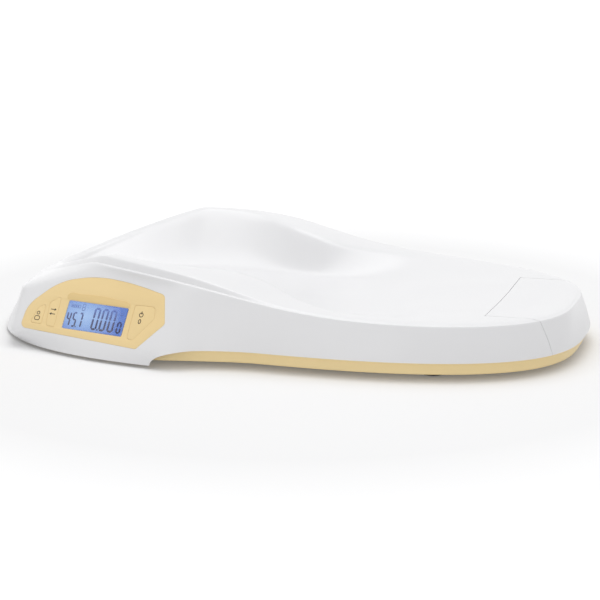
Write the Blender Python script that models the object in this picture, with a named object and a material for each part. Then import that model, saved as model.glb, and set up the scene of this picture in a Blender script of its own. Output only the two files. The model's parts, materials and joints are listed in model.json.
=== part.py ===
"""Digital baby weighing scale with a pull-out foot slide, in metres, +Z up.

+X runs to the foot end and the display looks towards -Y. The origin is under the
middle of the scale, on the surface that it stands on. The white top shell is one
lofted moulding: every closed line round it comes from the same outline formula.
"""
import math

import bmesh
import bpy
import numpy as np
from mathutils import Matrix, Vector
from mathutils.bvhtree import BVHTree

MM = 0.001

# Whole scale
LENGTH = 569 * MM
TRAY_WIDTH = 294 * MM
TAIL_FLARE = 13 * MM
HEAD_FLARE = 34 * MM
WALL = 2.5 * MM
GAP = 0.3 * MM
OVERRUN = 4 * MM

# Heights of the outer edge of the tray, and of the two lower lines
HEM_HEIGHT = 3 * MM
BELT_HEIGHT = 18 * MM
FOOT_EDGE_HEIGHT = 48.5 * MM
HUMP_EDGE_HEIGHT = 82 * MM
HEAD_EDGE_HEIGHT = 43 * MM
WIDEST_SHARE = -0.057
RISE_CENTRE_SHARE = -0.017
RISE_SPREAD_SHARE = 0.081
DROP_START_SHARE = -0.2735
DROP_POWER = 1.12

# Plan outlines: how square they are at the two ends, and how far they step in
EDGE_HEAD_POWER = 2.03
HEM_HEAD_POWER = 2.8
FOOT_POWER = 2.75
EDGE_HEAD_INSET = 18 * MM
EDGE_FOOT_INSET = 10 * MM
FLARE_START_SHARE = 0.031
FLARE_END_SHARE = -0.145
HEAD_BULGE = 4.2 * MM
FOOT_BULGE = 1.5 * MM

# Raised rim inside the ledge: insets at the head end, foot end and sides
LEDGE = 1.8 * MM
RIM_HEAD_INSET = 16 * MM
RIM_FOOT_INSET = 4 * MM
RIM_SIDE_INSET = 4.5 * MM
RIM_TOP_WIDTH = 9 * MM
RIM_RISE_HEAD = 6.8 * MM
RIM_RISE_FOOT = 0.8 * MM
RIM_RISE_SPREAD_SHARE = 0.035
RIM_CROWN = 0.6 * MM
HEAD_STEP = 4 * MM
HEAD_STEP_START_SHARE = -0.33
HEAD_STEP_END_SHARE = -0.43

# Shoulders of the tray and its bowl
SHOULDER_WIDTH = 40 * MM
SHOULDER_CENTRE_SHARE = -0.012
SHOULDER_SPREAD_SHARE = 0.079
SHOULDER_RISE = 9 * MM
SHOULDER_RISE_CENTRE_SHARE = 0.022
SHOULDER_RISE_SPREAD_SHARE = 0.021
RIDGE_STEP = 2.5 * MM
FLOOR_HEIGHT = 35.5 * MM
FLOOR_HEAD_HEIGHT = 41 * MM
FLOOR_FOOT_DROP = 0.6 * MM
FLOOR_DIP = 2 * MM
FLOOR_RISE_START_SHARE = 0.066
FLOOR_RISE_END_SHARE = 0.37
FLOOR_HEAD_START_SHARE = -0.268
FLOOR_HEAD_END_SHARE = -0.39
BOWL_HEAD_INSET = 45 * MM
BOWL_FOOT_INSET = 32 * MM
BOWL_SIDE_INSET = 80 * MM

RING_COUNT = 64
WALL_RING_SHARES = (1.0, 0.82, 0.55, 0.28, 0.08, 0.0)
BOWL_RING_SHARES = ((0.14, 0.14), (0.42, 0.5), (0.74, 0.86), (1.0, 1.0))
FLOOR_RING_SHARES = (0.62, 0.25)

# Display face
FACE_PLACE_SHARE = -0.2494
FACE_SETBACK = 24.2 * MM
FACE_HEIGHT = 36 * MM
FACE_TURN = math.radians(8.4)
FACE_LEAN = math.radians(31.7)
FACE_FLAT_HEAD = 84 * MM
FACE_FLAT_FOOT = 76 * MM
FACE_FADE = 30 * MM
PLATE_WIDTH = 152 * MM
PLATE_HEIGHT = 61.6 * MM
PLATE_THICKNESS = 1.2 * MM
WINDOW_WIDTH = 66 * MM
WINDOW_HEIGHT = 27.5 * MM
WINDOW_CORNER = 1.5 * MM
LENS_THICKNESS = 1 * MM
GLASS_BORDER = 1.6 * MM
GLASS_THICKNESS = 2.2 * MM
BACKLIGHT_THICKNESS = 3.4 * MM
DISPLAY_BOARD_WIDTH = 132 * MM
DISPLAY_BOARD_HEIGHT = 37 * MM
BOARD_THICKNESS = 1.6 * MM
DISPLAY_CLEARANCE = 1 * MM
ROOM_SHARE = 0.72
DISPLAY_POST_INSET = 4.5 * MM
DISPLAY_POST_RADIUS = 2.4 * MM
KEY_TRAVEL = 0.7 * MM
KEY_HEIGHT = 6 * MM
KEY_FLANGE = 1.2 * MM
DOME_RADIUS = 4 * MM
DOME_HEIGHT = 1 * MM
MAT_THICKNESS = 0.8 * MM

# Foot slide, its guides and the length sensor
SLIDE_TRAVEL = 150 * MM
TONGUE_LENGTH = 79 * MM
TONGUE_WIDTH = 152 * MM
SLIDE_PLATE_HEIGHT = 26 * MM
SLIDE_PLATE_THICKNESS = 2.5 * MM
SLIDE_TAIL_OVERLAP = 40 * MM
SLIDE_RIB_THICKNESS = 2 * MM
SLIDE_RIB_INSET = 8 * MM
SLIDE_EDGE_INSET = 2 * MM
GUIDE_WIDTH = 8 * MM
GUIDE_LIP = 2.5 * MM
GUIDE_ROOF = 1.8 * MM
GUIDE_END_INSET = 40 * MM
TOOTH_MODULE = 1.5 * MM
PINION_TEETH = 16
RACK_WIDTH = 7 * MM
RACK_THICKNESS = 5 * MM
RACK_END_MARGIN = 2 * MM
RACK_CLEARANCE = 1.2 * MM
TOOTH_BACKLASH = 0.36 * MM
RACK_ADDENDUM_SHARE = 0.8
PINION_ADDENDUM_SHARE = 0.9
DEDENDUM_SHARE = 1.25
PINION_INSET = 27 * MM
SHAFT_RADIUS = 2 * MM
SENSOR_RADIUS = 8.5 * MM
SENSOR_BOARD_SIZE = 26 * MM

# Base shell
BASE_HEIGHT = 6 * MM
BASE_FLOOR = 2.5 * MM
LIP_INSET = 5.6 * MM
BAND_INSET = 3.6 * MM
BAND_FOOT_INSET = 5.2 * MM
BASE_EDGE = 1.2 * MM
LIP_HEIGHT = 6 * MM
BAND_RISE_START_SHARE = -0.137
BAND_RISE_LENGTH = 42 * MM

# Feet and load cells
FOOT_HEAD_SHARE = -0.327
FOOT_TAIL_SHARE = 0.290
FOOT_HEAD_MARGIN = 73 * MM
FOOT_GUIDE_CLEARANCE = 6.2 * MM
FOOT_RADIUS = 15 * MM
PAD_RADIUS = 12.5 * MM
PAD_THICKNESS = 2.4 * MM
PAD_SEAT = 1 * MM
CUP_HEIGHT = 9 * MM
CELL_THICKNESS = 3 * MM
CELL_SLOT = 2 * MM
BOSS_WALL = 2 * MM
RETAINER_THICKNESS = 2.2 * MM

# Battery bay with four AA cells side by side, door in the base
CELL_RADIUS = 7.1 * MM
CELL_LENGTH = 50 * MM
CELL_NIPPLE = 1.4 * MM
BAY_PLACE_SHARE = -0.235
BAY_WALL = 1.5 * MM
DOOR_LIP = 3 * MM
DOOR_THICKNESS = 2 * MM
DOOR_RIB = 1 * MM
CONTACT_THICKNESS = 0.5 * MM
CONTACT_SHARE = 0.75

# Boards and fasteners
CASE_HEAD_SHARE = -0.42
CASE_MIDDLE_SHARE = -0.02
CASE_TAIL_SHARE = 0.40
CASE_HEAD_MARGIN = 87 * MM
CASE_SIDE_MARGIN = 31 * MM
CASE_GUIDE_CLEARANCE = 6 * MM
PILLAR_RADIUS = 3.5 * MM
SCREW_LENGTH = 12 * MM
MAIN_BOARD_LENGTH = 46 * MM
MAIN_BOARD_WIDTH = 62 * MM
MAIN_BOARD_SHARE = -0.085
POST_RADIUS = 3 * MM
POST_HEIGHT = 4 * MM
SCREW_RADIUS = 1.3 * MM
SCREW_HEAD_RADIUS = 2.6 * MM
SCREW_HEAD = 1.6 * MM

HEAD_WIDTH = TRAY_WIDTH + 2 * HEAD_FLARE
TAIL_WIDTH = TRAY_WIDTH + 2 * TAIL_FLARE
HEAD_X = -LENGTH / 2
FOOT_X = LENGTH / 2
WIDEST_X = WIDEST_SHARE * LENGTH
EDGE_HEAD_X = HEAD_X + EDGE_HEAD_INSET
EDGE_FOOT_X = FOOT_X - EDGE_FOOT_INSET
BELT_SHARE = (FOOT_EDGE_HEIGHT - BELT_HEIGHT) / (FOOT_EDGE_HEIGHT - HEM_HEIGHT)
HEM_FOOT_X = EDGE_FOOT_X + (EDGE_FOOT_INSET - FOOT_BULGE * math.sin(math.pi * BELT_SHARE)) / BELT_SHARE
TONGUE_X = FOOT_X - TONGUE_LENGTH

for old in list(bpy.data.objects):
    bpy.data.objects.remove(old, do_unlink=True)

parts = bpy.data.collections.new("baby_weighing_scale")
cutters = bpy.data.collections.new("cutters")
bpy.context.scene.collection.children.link(parts)
bpy.context.scene.collection.children.link(cutters)


def material(name, colour, roughness, metallic=0.0):
    made = bpy.data.materials.new(name)
    made.use_nodes = True
    shader = made.node_tree.nodes["Principled BSDF"]
    shader.inputs["Base Color"].default_value = (*colour, 1)
    shader.inputs["Roughness"].default_value = roughness
    shader.inputs["Metallic"].default_value = metallic
    return made


WHITE = material("white_gloss_abs", (0.86, 0.86, 0.87), 0.22)
YELLOW = material("cream_yellow_abs", (0.86, 0.67, 0.34), 0.35)
KEY_YELLOW = material("key_cream_yellow", (0.85, 0.66, 0.33), 0.4)
CLEAR = material("clear_acrylic", (0.75, 0.85, 0.95), 0.05)
LCD_BLUE = material("lcd_blue_glass", (0.25, 0.42, 0.80), 0.15)
DIFFUSER = material("white_diffuser", (0.8, 0.88, 1.0), 0.4)
BOARD_GREEN = material("circuit_board_green", (0.03, 0.22, 0.09), 0.45)
SILICONE = material("grey_silicone", (0.45, 0.45, 0.45), 0.7)
NATURAL = material("natural_acetal", (0.82, 0.81, 0.76), 0.4)
BLACK = material("black_abs", (0.03, 0.03, 0.03), 0.4)
STEEL = material("cell_steel", (0.62, 0.62, 0.63), 0.3, 1.0)
CUP_GREY = material("foot_cup_grey", (0.36, 0.36, 0.37), 0.5)
RUBBER = material("foot_rubber", (0.12, 0.12, 0.12), 0.85)
BATTERY_SLEEVE = material("battery_sleeve", (0.10, 0.22, 0.45), 0.3)
NICKEL = material("nickel_plate", (0.70, 0.68, 0.62), 0.25, 1.0)


def part(name, mesh, finish, frame=None, sharp=35):
    """Link a finished mesh as one named sub-part."""
    mesh.materials.clear()
    mesh.materials.append(finish)
    mesh.shade_smooth()
    mesh.set_sharp_from_angle(angle=math.radians(sharp))
    made = bpy.data.objects.new(name, mesh)
    if frame is not None:
        made.matrix_world = frame
    parts.objects.link(made)
    return made


def helper(name, mesh, frame=None):
    """Link a mesh that only cuts or joins other pieces."""
    made = bpy.data.objects.new(name, mesh)
    if frame is not None:
        made.matrix_world = frame
    made.hide_render = True
    made.display_type = "WIRE"
    cutters.objects.link(made)
    return made


def combine(target, tool, operation="DIFFERENCE"):
    modifier = target.modifiers.new(f"{operation.lower()}_{tool.name}", "BOOLEAN")
    modifier.object = tool
    modifier.operation = operation
    modifier.solver = "EXACT"
    return modifier


def mesh_from(build, name):
    bm = bmesh.new()
    build(bm)
    bmesh.ops.recalc_face_normals(bm, faces=bm.faces)
    made = bpy.data.meshes.new(name)
    bm.to_mesh(made)
    bm.free()
    return made


def add_box(bm, low, high):
    low, high = Vector(low), Vector(high)
    size = high - low
    place = Matrix.Translation((low + high) / 2) @ Matrix.Diagonal((*size, 1))
    bmesh.ops.create_cube(bm, size=1, matrix=place)


def add_cylinder(bm, centre, radius, low, high, segments):
    place = Matrix.Translation((centre[0], centre[1], (low + high) / 2))
    bmesh.ops.create_cone(bm, cap_ends=True, segments=segments, radius1=radius, radius2=radius,
                          depth=high - low, matrix=place)


def boxes(name, corners):
    def build(bm):
        for low, high in corners:
            add_box(bm, low, high)
    return mesh_from(build, name)


def cylinders(name, items, segments=20):
    def build(bm):
        for centre, radius, low, high in items:
            add_cylinder(bm, centre, radius, low, high, segments)
    return mesh_from(build, name)


def lying_cylinder(name, x, z, radius, start, end, segments):
    """A cylinder along Y between two places."""
    def build(bm):
        place = Matrix.Translation((x, (start + end) / 2, z)) @ Matrix.Rotation(math.pi / 2, 4, "X")
        bmesh.ops.create_cone(bm, cap_ends=True, segments=segments, radius1=radius, radius2=radius,
                              depth=end - start, matrix=place)
    return mesh_from(build, name)


def flat_outline(name, splines, low, high, resolution=5):
    """A plate between two heights, from closed 2D curves of (x, y, smooth) points."""
    curve = bpy.data.curves.new(name, "CURVE")
    curve.dimensions = "2D"
    curve.fill_mode = "BOTH"
    curve.resolution_u = resolution
    curve.extrude = (high - low) / 2
    for points in splines:
        spline = curve.splines.new("BEZIER")
        spline.bezier_points.add(len(points) - 1)
        spline.use_cyclic_u = True
        for node, (x, y, smooth) in zip(spline.bezier_points, points):
            node.co = (x, y, 0)
            kind = "AUTO" if smooth else "VECTOR"
            node.handle_left_type = kind
            node.handle_right_type = kind
    holder = bpy.data.objects.new(name, curve)
    cutters.objects.link(holder)
    bpy.context.view_layer.update()
    evaluated = holder.evaluated_get(bpy.context.evaluated_depsgraph_get())
    flat = bpy.data.meshes.new_from_object(evaluated)
    bpy.data.objects.remove(holder)
    bpy.data.curves.remove(curve)
    bm = bmesh.new()
    bm.from_mesh(flat)
    bmesh.ops.remove_doubles(bm, verts=bm.verts, dist=GAP / 30)
    bmesh.ops.translate(bm, verts=bm.verts, vec=(0, 0, (low + high) / 2))
    bmesh.ops.recalc_face_normals(bm, faces=bm.faces)
    bm.to_mesh(flat)
    bm.free()
    flat.name = name
    return flat


def polygon(points):
    return [(x, y, False) for x, y in points]


def ease(value):
    value = np.clip(value, 0, 1)
    return value * value * (3 - 2 * value)


def swing(value):
    return 1 / (1 + np.exp(-value))


# Outline formulas of the top shell
def along(share_start, share_end, x):
    """0 at the first place along the length, 1 at the second, eased between."""
    start, end = share_start * LENGTH, share_end * LENGTH
    return ease((x - start) / (end - start))


def ring_plan(turn, head, foot, half, head_power, foot_power=FOOT_POWER):
    """One closed outline: half lengths to head and foot, half width, squareness."""
    c, s = np.cos(turn), np.sin(turn)
    power = np.where(c < 0, head_power, foot_power)
    reach = np.where(c < 0, WIDEST_X - head, foot - WIDEST_X)
    x = WIDEST_X + reach * np.sign(c) * np.abs(c) ** (2 / power)
    y = half * np.sign(s) * np.abs(s) ** (2 / power)
    return x, y


def edge_height(x):
    rise = swing((RISE_CENTRE_SHARE * LENGTH - x) / (RISE_SPREAD_SHARE * LENGTH))
    start = DROP_START_SHARE * LENGTH
    drop = np.clip((start - x) / (start - EDGE_HEAD_X), 0, 1) ** DROP_POWER
    height = FOOT_EDGE_HEIGHT + (HUMP_EDGE_HEIGHT - FOOT_EDGE_HEIGHT) * rise
    return height - (HUMP_EDGE_HEIGHT - HEAD_EDGE_HEIGHT) * drop


def edge_ring(turn):
    x, y = ring_plan(turn, EDGE_HEAD_X, EDGE_FOOT_X, TRAY_WIDTH / 2, EDGE_HEAD_POWER)
    return x, y, edge_height(x)


def hem_half(x):
    flare = along(FLARE_START_SHARE, FLARE_END_SHARE, x)
    return (TAIL_WIDTH + (HEAD_WIDTH - TAIL_WIDTH) * flare) / 2


def wall_ring(turn, share, inset=0.0):
    """The outer wall at a share of the way from the tray's edge down to the hem."""
    bulge = math.sin(math.pi * share)
    power = EDGE_HEAD_POWER + (HEM_HEAD_POWER - EDGE_HEAD_POWER) * share
    head = EDGE_HEAD_X + (HEAD_X - EDGE_HEAD_X) * share - HEAD_BULGE * bulge + inset
    foot = EDGE_FOOT_X + (HEM_FOOT_X - EDGE_FOOT_X) * share + FOOT_BULGE * bulge - inset
    x, unit = ring_plan(turn, head, foot, 1.0, power)
    half = TRAY_WIDTH / 2 * (1 - share) + hem_half(x) * share + FOOT_BULGE * bulge - inset
    edge = edge_ring(turn)[2]
    return x, unit * half, edge + (HEM_HEIGHT - edge) * share


FACE_ORIGIN = Vector((FACE_PLACE_SHARE * LENGTH, FACE_SETBACK - HEAD_WIDTH / 2, FACE_HEIGHT))
FACE_OUT = Vector((-math.sin(FACE_TURN) * math.cos(FACE_LEAN),
                   -math.cos(FACE_TURN) * math.cos(FACE_LEAN), math.sin(FACE_LEAN)))
FACE_ALONG = Vector((math.cos(FACE_TURN), -math.sin(FACE_TURN), 0))
FACE_UP = FACE_OUT.cross(FACE_ALONG)
FACE = Matrix.Translation(FACE_ORIGIN) @ Matrix((FACE_ALONG, FACE_UP, FACE_OUT)).transposed().to_4x4()


def flatten_to_face(x, y, z, share):
    """Bring the front wall on to the flat display face, fading out round it."""
    plane = FACE_ORIGIN.y - ((x - FACE_ORIGIN.x) * FACE_OUT.x + (z - FACE_ORIGIN.z) * FACE_OUT.z) / FACE_OUT.y
    head_side = ease((x - FACE_ORIGIN.x + FACE_FLAT_HEAD + FACE_FADE) / FACE_FADE)
    foot_side = ease((FACE_ORIGIN.x + FACE_FLAT_FOOT + FACE_FADE - x) / FACE_FADE)
    top, bottom = WALL_RING_SHARES[-2], WALL_RING_SHARES[1]
    depth = np.clip(share / top, 0, 1) * np.clip((1 - share) / (1 - bottom), 0, 1)
    weight = np.where(y < 0, head_side * foot_side * depth, 0)
    return y + (plane - y) * weight


def rim_rise(x):
    share = swing((RISE_CENTRE_SHARE * LENGTH - x) / (RIM_RISE_SPREAD_SHARE * LENGTH))
    return RIM_RISE_FOOT + (RIM_RISE_HEAD - RIM_RISE_FOOT) * share


def inset_ring(turn, head, foot, side):
    plan = ring_plan(turn, EDGE_HEAD_X + head, EDGE_FOOT_X - foot, 1.0, EDGE_HEAD_POWER)
    return plan[0], plan[1] * (TRAY_WIDTH / 2 - side)


def shoulder_inset(x):
    spread = SHOULDER_SPREAD_SHARE * LENGTH
    bump = np.exp(-((x - SHOULDER_CENTRE_SHARE * LENGTH) / spread) ** 2 / 2)
    return SHOULDER_WIDTH * bump


def floor_height(x):
    foot_height = FOOT_EDGE_HEIGHT - FLOOR_FOOT_DROP
    foot = along(FLOOR_RISE_START_SHARE, FLOOR_RISE_END_SHARE, x)
    head = along(FLOOR_HEAD_START_SHARE, FLOOR_HEAD_END_SHARE, x)
    return FLOOR_HEIGHT + (foot_height - FLOOR_HEIGHT) * foot + (FLOOR_HEAD_HEIGHT - FLOOR_HEIGHT) * head


def tray_rings(turn):
    """Closed lines from the ledge inwards: rim, shoulder ridge, bowl and floor."""
    edge_x, edge_y, edge_z = edge_ring(turn)
    ledge = inset_ring(turn, LEDGE, LEDGE, LEDGE)
    yield "ledge", (*ledge, edge_z + 0)
    rim = inset_ring(turn, RIM_HEAD_INSET, RIM_FOOT_INSET, RIM_SIDE_INSET)
    rim_z = edge_z + rim_rise(edge_x)
    yield "rim", (*rim, rim_z)
    step = HEAD_STEP * along(HEAD_STEP_START_SHARE, HEAD_STEP_END_SHARE, edge_x)
    wide = shoulder_inset(edge_x)
    inner = RIM_TOP_WIDTH + RIDGE_STEP
    ridge_side = RIM_SIDE_INSET + inner + wide
    ridge = inset_ring(turn, RIM_HEAD_INSET + inner, RIM_FOOT_INSET + inner, ridge_side)
    climb = swing((SHOULDER_RISE_CENTRE_SHARE * LENGTH - edge_x) / (SHOULDER_RISE_SPREAD_SHARE * LENGTH))
    shoulder = RIM_RISE_FOOT + SHOULDER_RISE * climb
    blend = wide / SHOULDER_WIDTH
    ridge_z = edge_z + rim_rise(edge_x) * (1 - blend) + shoulder * blend - step
    crown = inset_ring(turn, RIM_HEAD_INSET + RIM_TOP_WIDTH, RIM_FOOT_INSET + RIM_TOP_WIDTH,
                       RIM_SIDE_INSET + RIM_TOP_WIDTH)
    crown_share = RIM_TOP_WIDTH / (inner + wide)
    crown_z = rim_z + (ridge_z + step - rim_z) * crown_share + RIM_CROWN
    yield "crown", (*crown, crown_z)
    yield "ridge", (*ridge, ridge_z)
    bottom = inset_ring(turn, BOWL_HEAD_INSET, BOWL_FOOT_INSET, BOWL_SIDE_INSET)
    for number, (out, down) in enumerate(BOWL_RING_SHARES):
        x, y = (start + (end - start) * out for start, end in zip(ridge, bottom))
        yield f"bowl_{number}", (x, y, ridge_z + (floor_height(x) - ridge_z) * down)
    for number, share in enumerate(FLOOR_RING_SHARES):
        inner_x = WIDEST_X + (x - WIDEST_X) * share
        yield f"floor_{number}", (inner_x, y * share, floor_height(inner_x) - FLOOR_DIP * (1 - share * share))


def loft(bm, rings, close_last=True):
    """Quads between closed rings of equal count, with a cap in the last one."""
    rows = [[bm.verts.new(point) for point in ring] for ring in rings]
    for low, high in zip(rows, rows[1:]):
        for index, vertex in enumerate(low):
            after = (index + 1) % len(low)
            bm.faces.new((vertex, low[after], high[after], high[index]))
    if close_last:
        bm.faces.new(rows[-1])
    return rows


def points_of(ring):
    return [Vector(point) for point in np.column_stack(ring)]


def shell_rings(count):
    turn = np.arange(count) * 2 * math.pi / count
    rings = []
    for share in WALL_RING_SHARES:
        x, y, z = wall_ring(turn, share)
        rings.append((f"wall_{share}", points_of((x, flatten_to_face(x, y, z, share), z))))
    rings += [(name, points_of(ring)) for name, ring in tray_rings(turn)]
    return rings


def whole_shell_mesh(name):
    """Outer skin, and an inner skin one wall inside it, joined along the hem."""
    rings = shell_rings(RING_COUNT)
    outer_rings = [points for label, points in rings]
    inner_rings = [points for label, points in rings if label != "ledge"]

    def build(bm):
        inner_rows = loft(bm, inner_rings)
        bm.normal_update()
        bmesh.ops.recalc_face_normals(bm, faces=bm.faces)
        outward = [[vertex.normal.copy() for vertex in row] for row in inner_rows]
        sign = 1 if outward[-1][0].z > 0 else -1
        for row, normals in zip(inner_rows, outward):
            for vertex, normal in zip(row, normals):
                vertex.co -= normal * sign * WALL
        for vertex in inner_rows[0]:
            vertex.co.z = HEM_HEIGHT
        outer_rows = loft(bm, outer_rings)
        for index, vertex in enumerate(outer_rows[0]):
            after = (index + 1) % RING_COUNT
            bm.faces.new((vertex, outer_rows[0][after], inner_rows[0][after], inner_rows[0][index]))
    return mesh_from(build, name)


def band_line(drop):
    """The lower edge of the white shell seen from the side, as points (x, z)."""
    start = BAND_RISE_START_SHARE * LENGTH
    steps = 8
    rise = BELT_HEIGHT - HEM_HEIGHT
    line = []
    for step in range(steps + 1):
        angle = step / steps * math.pi / 2
        line.append((start + BAND_RISE_LENGTH * (1 - math.cos(angle)), HEM_HEIGHT + rise * math.sin(angle) - drop))
    return line


def side_prism(name, outline):
    """A prism across the whole width from an outline of (x, z) points."""
    half = HEAD_WIDTH / 2 + OVERRUN
    flat = flat_outline(name, [polygon(outline)], -half, half)
    return helper(name, flat, Matrix.Rotation(math.pi / 2, 4, "X"))


def below_band_line(name, drop):
    line = band_line(drop)
    far = FOOT_X + TONGUE_LENGTH
    outline = [(line[0][0], -OVERRUN), *line, (far, line[-1][1]), (far, -OVERRUN)]
    return side_prism(name, outline)


def tongue_block(name, side, back):
    low = (TONGUE_X - back, -TONGUE_WIDTH / 2 - side, -OVERRUN)
    high = (FOOT_X + TONGUE_LENGTH, TONGUE_WIDTH / 2 + side, HUMP_EDGE_HEIGHT)
    return helper(name, boxes(name, [(low, high)]))


# Display opening outlines, as shares of the faceplate's width and height
plate_outline_shares = (
    (-0.514, -0.235, True), (-0.490, -0.292, True), (-0.300, -0.325, True), (0.000, -0.350, True),
    (0.305, -0.367, True), (0.345, -0.325, True), (0.470, 0.005, True), (0.481, 0.085, True),
    (0.425, 0.450, True), (0.385, 0.515, True), (0.140, 0.625, True), (-0.020, 0.636, True),
    (-0.180, 0.585, True), (-0.315, 0.472, True), (-0.428, 0.255, True), (-0.500, 0.020, True))
key_outline_shares = {
    "key_user": ((-0.455, -0.200, False), (-0.372, -0.206, False), (-0.375, 0.115, False),
                 (-0.420, 0.050, True), (-0.452, -0.090, True)),
    "key_unit": ((-0.336, -0.216, False), (-0.273, -0.225, False), (-0.280, 0.250, False),
                 (-0.350, 0.150, False)),
    "key_zero": ((0.258, -0.222, False), (0.292, -0.230, False), (0.402, 0.120, True),
                 (0.400, 0.250, True), (0.380, 0.292, False), (0.258, 0.284, False)),
}


def plate_points(shares, grow=0.0):
    """Outline points in face coordinates, moved out from their middle by grow."""
    points = [(x * PLATE_WIDTH, y * PLATE_HEIGHT, smooth) for x, y, smooth in shares]
    middle_x = (min(p[0] for p in points) + max(p[0] for p in points)) / 2
    middle_y = (min(p[1] for p in points) + max(p[1] for p in points)) / 2
    half_x = max(p[0] for p in points) - middle_x
    half_y = max(p[1] for p in points) - middle_y
    wider, taller = 1 + grow / half_x, 1 + grow / half_y
    return [(middle_x + (x - middle_x) * wider, middle_y + (y - middle_y) * taller, smooth)
            for x, y, smooth in points]


def rounded_rectangle(width, height, corner):
    points = []
    for sign_x, sign_y in ((1, 1), (-1, 1), (-1, -1), (1, -1)):
        x, y = sign_x * (width / 2 - corner), sign_y * (height / 2 - corner)
        ends = [(x + sign_x * corner, y), (x, y + sign_y * corner)]
        if sign_x * sign_y < 0:
            ends.reverse()
        points += ends
    return polygon(points)


def face_plate_mesh(name, splines, low, high):
    return flat_outline(name, splines, low, high)


def make_top_shell():
    shell = part("top_shell", whole_shell_mesh("top_shell"), WHITE, sharp=40)
    combine(shell, below_band_line("belt_cutter", 0))
    combine(shell, tongue_block("tongue_slot", GAP, GAP))
    recess = face_plate_mesh("plate_recess", [plate_points(plate_outline_shares, GAP)],
                             -PLATE_THICKNESS - GAP, OVERRUN)
    combine(shell, helper("plate_recess", recess, FACE))
    border = 2 * GLASS_BORDER + 2 * GAP
    window = rounded_rectangle(WINDOW_WIDTH + border, WINDOW_HEIGHT + border, GAP)
    combine(shell, helper("window_hole", face_plate_mesh("window_hole", [window], -OVERRUN, OVERRUN), FACE))
    for key, shares in key_outline_shares.items():
        hole = face_plate_mesh(f"{key}_hole", [plate_points(shares, GAP)], -2 * OVERRUN, OVERRUN)
        combine(shell, helper(f"{key}_hole", hole, FACE))
    return shell


def make_pillars(shell):
    """Screw pillars from the roof of the shell down to the base floor, and posts behind the display."""
    skin = [points for label, points in shell_rings(RING_COUNT)]
    vertices = [point for ring in skin for point in ring]
    faces = []
    for row in range(len(skin) - 1):
        for index in range(RING_COUNT):
            after = (index + 1) % RING_COUNT
            low, high = row * RING_COUNT, (row + 1) * RING_COUNT
            faces.append((low + index, low + after, high + after, high + index))
    faces.append(tuple(range((len(skin) - 1) * RING_COUNT, len(skin) * RING_COUNT)))
    roof = BVHTree.FromPolygons(vertices, faces)
    for name, centre in screw_places():
        heights = []
        for step in range(8):
            angle = step * math.pi / 4
            start = Vector((centre[0] + PILLAR_RADIUS * math.cos(angle), centre[1] + PILLAR_RADIUS * math.sin(angle),
                            2 * HUMP_EDGE_HEIGHT))
            heights.append(roof.ray_cast(start, Vector((0, 0, -1)))[0].z)
        pillar = cylinders(f"pillar_{name}", [(centre, PILLAR_RADIUS, BASE_TOP + GAP, min(heights) - WALL / 2)], 16)
        combine(shell, helper(f"pillar_{name}", pillar), "UNION")
        bore = cylinders(f"pillar_bore_{name}", [(centre, SCREW_RADIUS + GAP / 3, 0, BASE_HEIGHT + SCREW_LENGTH + GAP)], 12)
        combine(shell, helper(f"pillar_bore_{name}", bore))
    posts = [(place, DISPLAY_POST_RADIUS, DISPLAY_BOARD_TOP + GAP, -WALL * 0.8) for place in display_post_places()]
    for number, (place, radius, low, high) in enumerate(posts):
        post = cylinders(f"display_post_{number}", [(place, radius, low, high)], 12)
        combine(shell, helper(f"display_post_{number}", post, FACE), "UNION")
        bore = cylinders(f"display_bore_{number}", [(place, SCREW_RADIUS + GAP / 3, low - OVERRUN, high - WALL)], 12)
        combine(shell, helper(f"display_bore_{number}", bore, FACE))


def display_post_places():
    x = DISPLAY_BOARD_WIDTH / 2 - DISPLAY_POST_INSET
    y = DISPLAY_POST_RADIUS + GAP - DISPLAY_BOARD_HEIGHT / 2
    return (-x, y), (x, y)


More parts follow.
